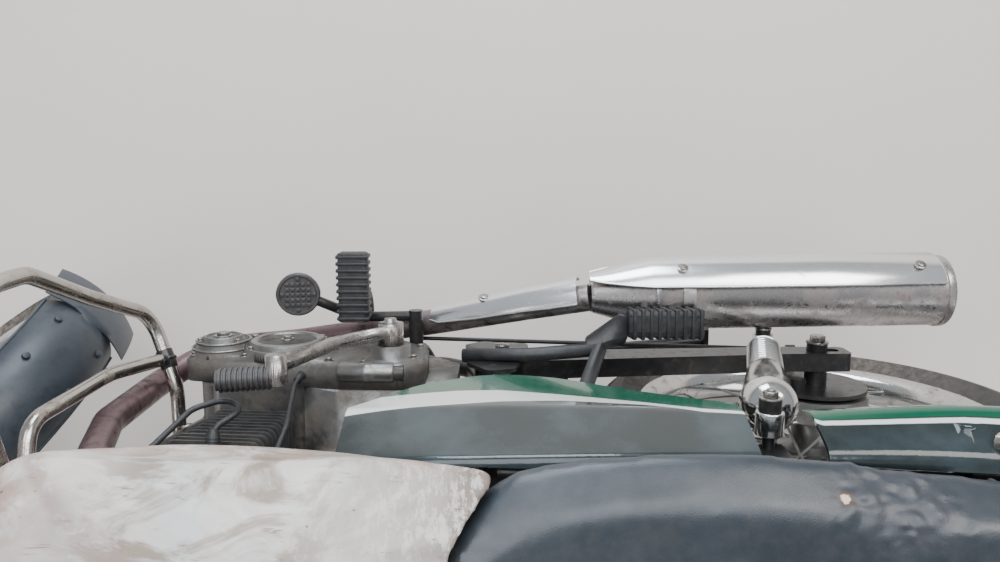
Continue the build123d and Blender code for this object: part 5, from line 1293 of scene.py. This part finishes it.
class MOTO_OT_rubbers(bpy.types.Operator):
    """Ribbed rubbers of the footrests, kick lever, brake pedal and handlebar grips"""
    bl_idname = "moto.rubbers"
    bl_label = "Rubbers"

    def execute(self, context):
        bm = bmesh.new()
        for side in (-1, 1):
            ribbed_block(bm, place_at((0.64, side * 0.146, 0.292), (0, side, 0)), (0.0445, 0.0285), 0.095, 10)
            ribbed_block(bm, place_at((0.277, side * 0.165, 0.4), (-1, 0, 0)), (0.0385, 0.0265), 0.094, 9,
                         0.22)
        finish_piece(bm, "footrest_rubbers", "chassis", "rubber")

        bm = bmesh.new()
        start, end = Vector((0.692, -0.128, 0.52)), Vector((0.756, -0.126, 0.528))
        profile = [(0.0, 0.002), (0.0115, 0.002)]
        ribs = 10
        for rib in range(ribs):
            along = 0.005 + rib * 0.0058
            profile += [(0.0118, along), (0.0136, along + 0.0008),
                        (0.0136, along + 0.0034), (0.0118, along + 0.0042)]
        profile += [(0.0115, 0.0645), (0.0, 0.0645)]
        lathe(bm, profile, start, end, 40)
        finish_piece(bm, "kick_rubber", "chassis", "worn_rubber")

        bm = bmesh.new()
        pad = place_at((0.7157, -0.184, 0.299), (-0.15, 0, 1), (1, 0, 0))
        lathe(bm, [(0.0, -0.0085), (0.0275, -0.0085), (0.0297, -0.006), (0.0297, 0.0005), (0.028, 0.0022),
                   (0.0255, 0.0022), (0.0245, 0.0005), (0.0, 0.0005)],
              pad.translation, pad @ Vector((0, 0, 1)), 48)
        pitch = 0.0072
        for row in range(-3, 4):
            for column in range(-3, 4):
                if math.hypot(row, column) * pitch < 0.0225:
                    box(bm, (row * pitch, column * pitch, 0.0012), (0.0052, 0.0052, 0.0028), pad, 0.0008)
        finish_piece(bm, "brake_pad_rubber", "chassis", "worn_rubber")

        bm = bmesh.new()
        for side in (-1, 1):
            start = head_point(HEAD_LENGTH + 0.1886, -0.036, side * 0.243)
            end = head_point(HEAD_LENGTH + 0.182, -0.0895, side * 0.369)
            length = (end - start).length
            profile = [(0.0, 0.001), (0.022, 0.001), (0.022, 0.005), (0.0172, 0.008)]
            steps = 22
            for rib in range(steps):
                along = 0.012 + rib * (length - 0.024) / steps
                profile += [(0.0168, along), (0.0184, along + 0.0012),
                            (0.0184, along + 0.003), (0.0168, along + 0.004)]
            profile += [(0.0185, length - 0.004), (0.0175, length + 0.0015), (0.0, length + 0.0015)]
            lathe(bm, profile, start, end, 40)
        finish_piece(bm, "grip_rubbers", "steering", "rubber", STEERED)
        return {"FINISHED"}


# Engine: the right cover's outer face, then X and Z of its screws, cap and filter, and of the screws
# on the left in magneto cover and case, with Y of those two faces
COVER_FACE = -0.1173
COVER_SCREWS = [(0.838, 0.322), (0.836, 0.37), (0.768, 0.379), (0.655, 0.403), (0.61, 0.413), (0.549, 0.388),
                (0.545, 0.33), (0.604, 0.274), (0.69, 0.272), (0.785, 0.272)]
CAP_CENTRE = (0.72, 0.348)
FILTER_CENTRE = (0.806, 0.345)
MAGNETO_SCREWS = [(0.748, 0.38), (0.692, 0.29), (0.804, 0.29)]
CASE_SCREWS = [(0.52, 0.37), (0.52, 0.315), (0.66, 0.275)]
MAGNETO_FACE, CASE_FACE = 0.1123, 0.1043


class MOTO_OT_engine(bpy.types.Operator):
    """Trim of the engine: cap rings, screws, clamps, head bolts and spark plug"""
    bl_idname = "moto.engine"
    bl_label = "Engine trim"

    def execute(self, context):
        right = Vector((0, -1, 0))
        cap = Vector((CAP_CENTRE[0], COVER_FACE - 0.014, CAP_CENTRE[1]))
        bm = bmesh.new()
        lathe(bm, [(0.037, -0.003), (0.0385, 0.0012), (0.0405, 0.0026), (0.044, 0.0026), (0.0465, 0.0012),
                   (0.0475, -0.003), (0.037, -0.003)], cap, cap + right, 72)
        torus(bm, cap + Vector((0, 0.006, 0)), right, 0.0535, 0.0016, 72)
        filter_foot = Vector((FILTER_CENTRE[0], COVER_FACE - 0.019, FILTER_CENTRE[1]))
        for radius, drop in ((0.0225, 0.0), (0.0345, 0.005), (0.0395, 0.013)):
            torus(bm, filter_foot + Vector((0, drop, 0)), right, radius, 0.0014, 60)
        boss = Vector((0.571, COVER_FACE + 0.012, 0.418))
        barrel = Vector((0.64, COVER_FACE + 0.012, 0.414))
        lathe(bm, [(0.0, -0.001), (0.0112, -0.001), (0.0126, 0.001), (0.0126, 0.03), (0.0134, 0.032),
                   (0.0134, 0.036), (0.0126, 0.038), (0.0126, 0.0675), (0.011, 0.07), (0.0, 0.07)],
              boss, barrel, 40)
        finish_piece(bm, "engine_cap_rings", "chassis", "bright_casting")

        bm = bmesh.new()
        lathe(bm, [(0.0, -0.001), (0.0368, -0.001), (0.0368, 0.0004), (0.03, 0.0012),
                   (0.011, 0.0012), (0.0, 0.0012)], cap, cap + right, 60)
        lathe(bm, [(0.0, -0.013), (0.0098, -0.013), (0.0098, 0.001), (0.0, 0.001)], boss, barrel, 24)
        finish_piece(bm, "engine_cap_disc", "chassis", "dark_casting")

        bm = bmesh.new()
        hexagon(bm, cap + right * 0.001, right, 0.0058, 0.0052)
        for turn in range(4):
            angle = math.tau * (turn + 0.4) / 4
            place = cap + Vector((0.0505 * math.cos(angle), 0.006, 0.0505 * math.sin(angle)))
            hexagon(bm, place, right, 0.0036, 0.0045)
        for turn in range(3):
            angle = math.tau * (turn + 0.2) / 3
            place = filter_foot + Vector((0.0295 * math.cos(angle), 0.0045, 0.0295 * math.sin(angle)))
            hexagon(bm, place, right, 0.0034, 0.0045)
        hexagon(bm, filter_foot, right, 0.0085, 0.0055)
        for x, z in COVER_SCREWS:
            hexagon(bm, (x, COVER_FACE + 0.0005, z), right, 0.0046, 0.0048)
        for face, screws in ((MAGNETO_FACE, MAGNETO_SCREWS), (CASE_FACE, CASE_SCREWS)):
            for x, z in screws:
                hexagon(bm, (x, face, z), (0, 1, 0), 0.0046, 0.0048)
        kick = Vector((0.58, COVER_FACE - 0.0425, 0.372))
        hexagon(bm, kick, right, 0.0075, 0.006)
        tilt = Matrix.Translation((0.748, 0, 0.406)) @ Matrix.Rotation(math.radians(5), 4, "Y")
        for side in (-1, 1):
            for end in (-1, 1):
                foot = tilt @ Vector((end * 0.042, side * 0.044, 0.149))
                hexagon(bm, foot, tilt.col[2].xyz, 0.0058, 0.008)
        finish_piece(bm, "engine_screws", "chassis", "bare_steel")

        bm = bmesh.new()
        plug, lead = Vector((0.752, -0.046, 0.566)), Vector((0.751, -0.076, 0.561))
        lathe(bm, [(0.0, 0.0), (0.0062, 0.0), (0.0082, 0.004), (0.0088, 0.016), (0.0072, 0.03),
                   (0.0045, 0.036), (0.0, 0.036)], plug, lead, 24)
        for ring in range(4):
            torus(bm, plug + (lead - plug) * (0.5 + ring * 0.12), lead - plug, 0.0085 - ring * 0.0004,
                  0.0009, 24)
        finish_piece(bm, "plug_cap", "chassis", "rubber")
        return {"FINISHED"}


# Middle of the headlamp's front
LAMP = Vector((1.0863, 0, 0.838))


def dial(bm_case, bm_marks, left, marks):
    """One instrument: bezel, face, ticks, numbers and a needle."""
    foot = head_point(HEAD_LENGTH + 0.0782, 0.07, left)
    place = place_at(foot, HEAD_UP, HEAD_AHEAD)
    lathe(bm_case, [(0.0, -0.003), (0.036, -0.003), (0.0372, 0.001), (0.0362, 0.0045), (0.0335, 0.0048),
                    (0.032, 0.002), (0.0, 0.002)], foot, foot + HEAD_UP, 56)
    for tick in range(marks * 2 - 1):
        angle = math.radians(225 - 270 * tick / (marks * 2 - 2))
        long_one = tick % 2 == 0
        size = (0.0045 if long_one else 0.0026, 0.0009, 0.0003)
        box(bm_marks, (0.0285, 0, 0.0021), size, place @ Matrix.Rotation(angle, 4, "Z"))
        if long_one:
            curve = bpy.data.curves.new("number", "FONT")
            curve.body = str(tick * 10)
            curve.size, curve.extrude = 0.0062, 0.00012
            curve.align_x, curve.align_y = "CENTER", "CENTER"
            number = bpy.data.objects.new("number", curve)
            mesh = bpy.data.meshes.new_from_object(number)
            where = Vector((math.cos(angle), math.sin(angle), 0)) * 0.0215
            mesh.transform(place @ Matrix.Translation(where + Vector((0, 0, 0.0022))))
            bm_marks.from_mesh(mesh)
            bpy.data.objects.remove(number)
            bpy.data.curves.remove(curve)
            bpy.data.meshes.remove(mesh)
    needle = place @ Matrix.Rotation(math.radians(225), 4, "Z")
    box(bm_marks, (0.011, 0, 0.003), (0.028, 0.0012, 0.0006), needle)
    rod(bm_marks, place @ Vector((0, 0, 0.002)), place @ Vector((0, 0, 0.0042)), 0.0035, sides=24,
        edge=0.0006)


class MOTO_OT_lamps(bpy.types.Operator):
    """Headlamp with its bezel, lamp bodies, instruments and mirror glasses"""
    bl_idname = "moto.lamps"
    bl_label = "Lamps and instruments"

    def execute(self, context):
        ahead = Vector((1, 0, 0))
        bm = bmesh.new()
        lathe(bm, [(0.0, 0.001), (0.0615, 0.001), (0.0625, 0.004), (0.058, 0.0075), (0.044, 0.0115),
                   (0.024, 0.0138), (0.0, 0.0145)], LAMP, LAMP + ahead, 72)
        finish_piece(bm, "headlamp_glass", "steering", "clear_lens", STEERED, ["headlamp"])
        bm = bmesh.new()
        lathe(bm, [(0.0622, 0.0), (0.071, -0.004), (0.0725, 0.001), (0.0705, 0.0062), (0.0655, 0.0088),
                   (0.0625, 0.0075), (0.0615, 0.003), (0.0622, 0.0)], LAMP, LAMP + ahead, 72)
        finish_piece(bm, "headlamp_bezel", "steering", "rim_chrome", STEERED)

        for name, body, matrix, centre, reach in (
            ("front_indicator_bodies", "steering", STEERED, Vector((LAMP.x - 0.056, 0, 0.812)), 0.162),
            ("rear_indicator_bodies", "chassis", MACHINE, Vector((-0.224, 0, 0.716)), 0.158),
        ):
            bm = bmesh.new()
            for side in (-1, 1):
                inner = centre + Vector((0, side * (reach - 0.0165), 0))
                box(bm, (0, side * 0.0065, 0), (0.059, 0.014, 0.041), Matrix.Translation(inner), 0.006)
                rod(bm, inner - Vector((0, side * 0.016, 0)), inner, 0.0085, 0.014)
            finish_piece(bm, name, body, "plastic", matrix)

        bm, marks = bmesh.new(), bmesh.new()
        for left, count in ((-0.042, 7), (0.042, 6)):
            dial(bm, marks, left, count)
        finish_piece(bm, "dial_faces", "steering", "dial_black", STEERED)
        finish_piece(marks, "dial_marks", "steering", "dial_white", STEERED)

        bm = bmesh.new()
        for side in (-1, 1):
            back = head_point(HEAD_LENGTH + 0.282, -0.006, side * 0.3)
            glass = place_at(back - Vector((0.0004, 0, 0)), (-1, 0, -0.1))
            box(bm, (0, 0, 0.0004), (0.108, 0.072, 0.0016), glass, 0.0006)
        finish_piece(bm, "mirror_glasses", "steering", "mirror", STEERED)
        return {"FINISHED"}


# Front mudguard: its outer radius about the axle, half its width, and in degrees from the top
# the run of its bead and the places of its screws
FENDER_RADIUS = 0.324
FENDER_HALF = 0.058
BEAD_RUN = range(-92, 55, 6)
FENDER_SCREWS = (-84, -70, -40, 10)
# Top of the tank's filler cap
FILLER_CAP = Vector((0.722, 0, 0.9295))


class MOTO_OT_fittings(bpy.types.Operator):
    """Beads and screws of the mudguard, the filler cap and the axle nuts"""
    bl_idname = "moto.fittings"
    bl_label = "Small fittings"

    def execute(self, context):
        bm = bmesh.new()
        for side in (-1, 1):
            edge, reach = [], FENDER_RADIUS - 0.03
            for turn in BEAD_RUN:
                angle = math.radians(turn)
                rim = Vector((reach * math.sin(angle), side * FENDER_HALF, reach * math.cos(angle)))
                edge.append(FRONT_AXLE + rim)
            tube(bm, edge, 0.0022, 10)
        for turn in FENDER_SCREWS:
            for side in (-1, 1):
                angle = math.radians(turn)
                out = Vector((math.sin(angle), side * 0.28, math.cos(angle))).normalized()
                foot = FRONT_AXLE + Vector((math.sin(angle), 0, math.cos(angle))) * (FENDER_RADIUS - 0.0085)
                foot.y = side * 0.034
                rod(bm, foot - out * 0.002, foot + out * 0.004, 0.005, sides=20, edge=0.0012)
        finish_piece(bm, "mudguard_bead", "steering", "guard", STEERED)

        bm = bmesh.new()
        cap = FILLER_CAP
        lathe(bm, [(0.0, -0.004), (0.0315, -0.004), (0.0335, -0.001), (0.0335, 0.005), (0.0315, 0.0085),
                   (0.026, 0.0105), (0.012, 0.0118), (0.0, 0.0118)], cap, cap + Vector((0, 0, 1)), 56)
        box(bm, (0, 0, 0.0125), (0.019, 0.0075, 0.0025), Matrix.Translation(cap), 0.001)
        rod(bm, cap + Vector((0.034, -0.008, 0.002)), cap + Vector((0.034, 0.008, 0.002)), 0.0035,
            edge=0.0006)
        finish_piece(bm, "filler_cap_lid", "chassis", "guard_chrome", replaces=["filler_cap"])

        bm = bmesh.new()
        for side in (-1, 1):
            hexagon(bm, (0, side * 0.1182, AXLE_HEIGHT), (0, side, 0), 0.0105, 0.01)
            hexagon(bm, (0.435, side * 0.1145, 0.338), (0, side, 0), 0.011, 0.009)
        finish_piece(bm, "axle_nuts", "chassis", "bare_steel")
        bm = bmesh.new()
        for side in (-1, 1):
            hexagon(bm, FRONT_AXLE + Vector((0, side * 0.1182, 0)), (0, side, 0), 0.0115, 0.009)
        finish_piece(bm, "front_axle_nuts", "steering", "bare_steel", STEERED)
        return {"FINISHED"}


class MOTO_PT_panel(bpy.types.Panel):
    """Steps that dress the motorcycle"""
    bl_label = "Motorcycle"
    bl_idname = "MOTO_PT_panel"
    bl_space_type = "VIEW_3D"
    bl_region_type = "UI"
    bl_category = "Motorcycle"

    def draw(self, context):
        for operator in OPERATORS:
            self.layout.operator(operator.bl_idname)
        for settings in ("moto_stage", "moto_finish", "moto_shape"):
            group_of = getattr(context.scene, settings)
            for name in group_of.__annotations__:
                self.layout.prop(group_of, name)


SETTINGS = (StageSettings, FinishSettings, ShapeSettings)
OPERATORS = (
    MOTO_OT_stage, MOTO_OT_finishes, MOTO_OT_shells, MOTO_OT_tank, MOTO_OT_seat,
    MOTO_OT_tyres, MOTO_OT_exhaust, MOTO_OT_shocks, MOTO_OT_tubes, MOTO_OT_rubbers,
    MOTO_OT_engine, MOTO_OT_lamps, MOTO_OT_fittings,
)
CLASSES = (*SETTINGS, *OPERATORS, MOTO_PT_panel)


def register():
    for cls in CLASSES:
        bpy.utils.register_class(cls)
    bpy.types.Scene.moto_stage = PointerProperty(type=StageSettings)
    bpy.types.Scene.moto_finish = PointerProperty(type=FinishSettings)
    bpy.types.Scene.moto_shape = PointerProperty(type=ShapeSettings)


def unregister():
    for name in ("moto_stage", "moto_finish", "moto_shape"):
        delattr(bpy.types.Scene, name)
    for cls in reversed(CLASSES):
        bpy.utils.unregister_class(cls)


def main():
    register()
    for operator in OPERATORS:
        group_name, call = operator.bl_idname.split(".")
        getattr(getattr(bpy.ops, group_name), call)()


if __name__ == "__main__":
    main()
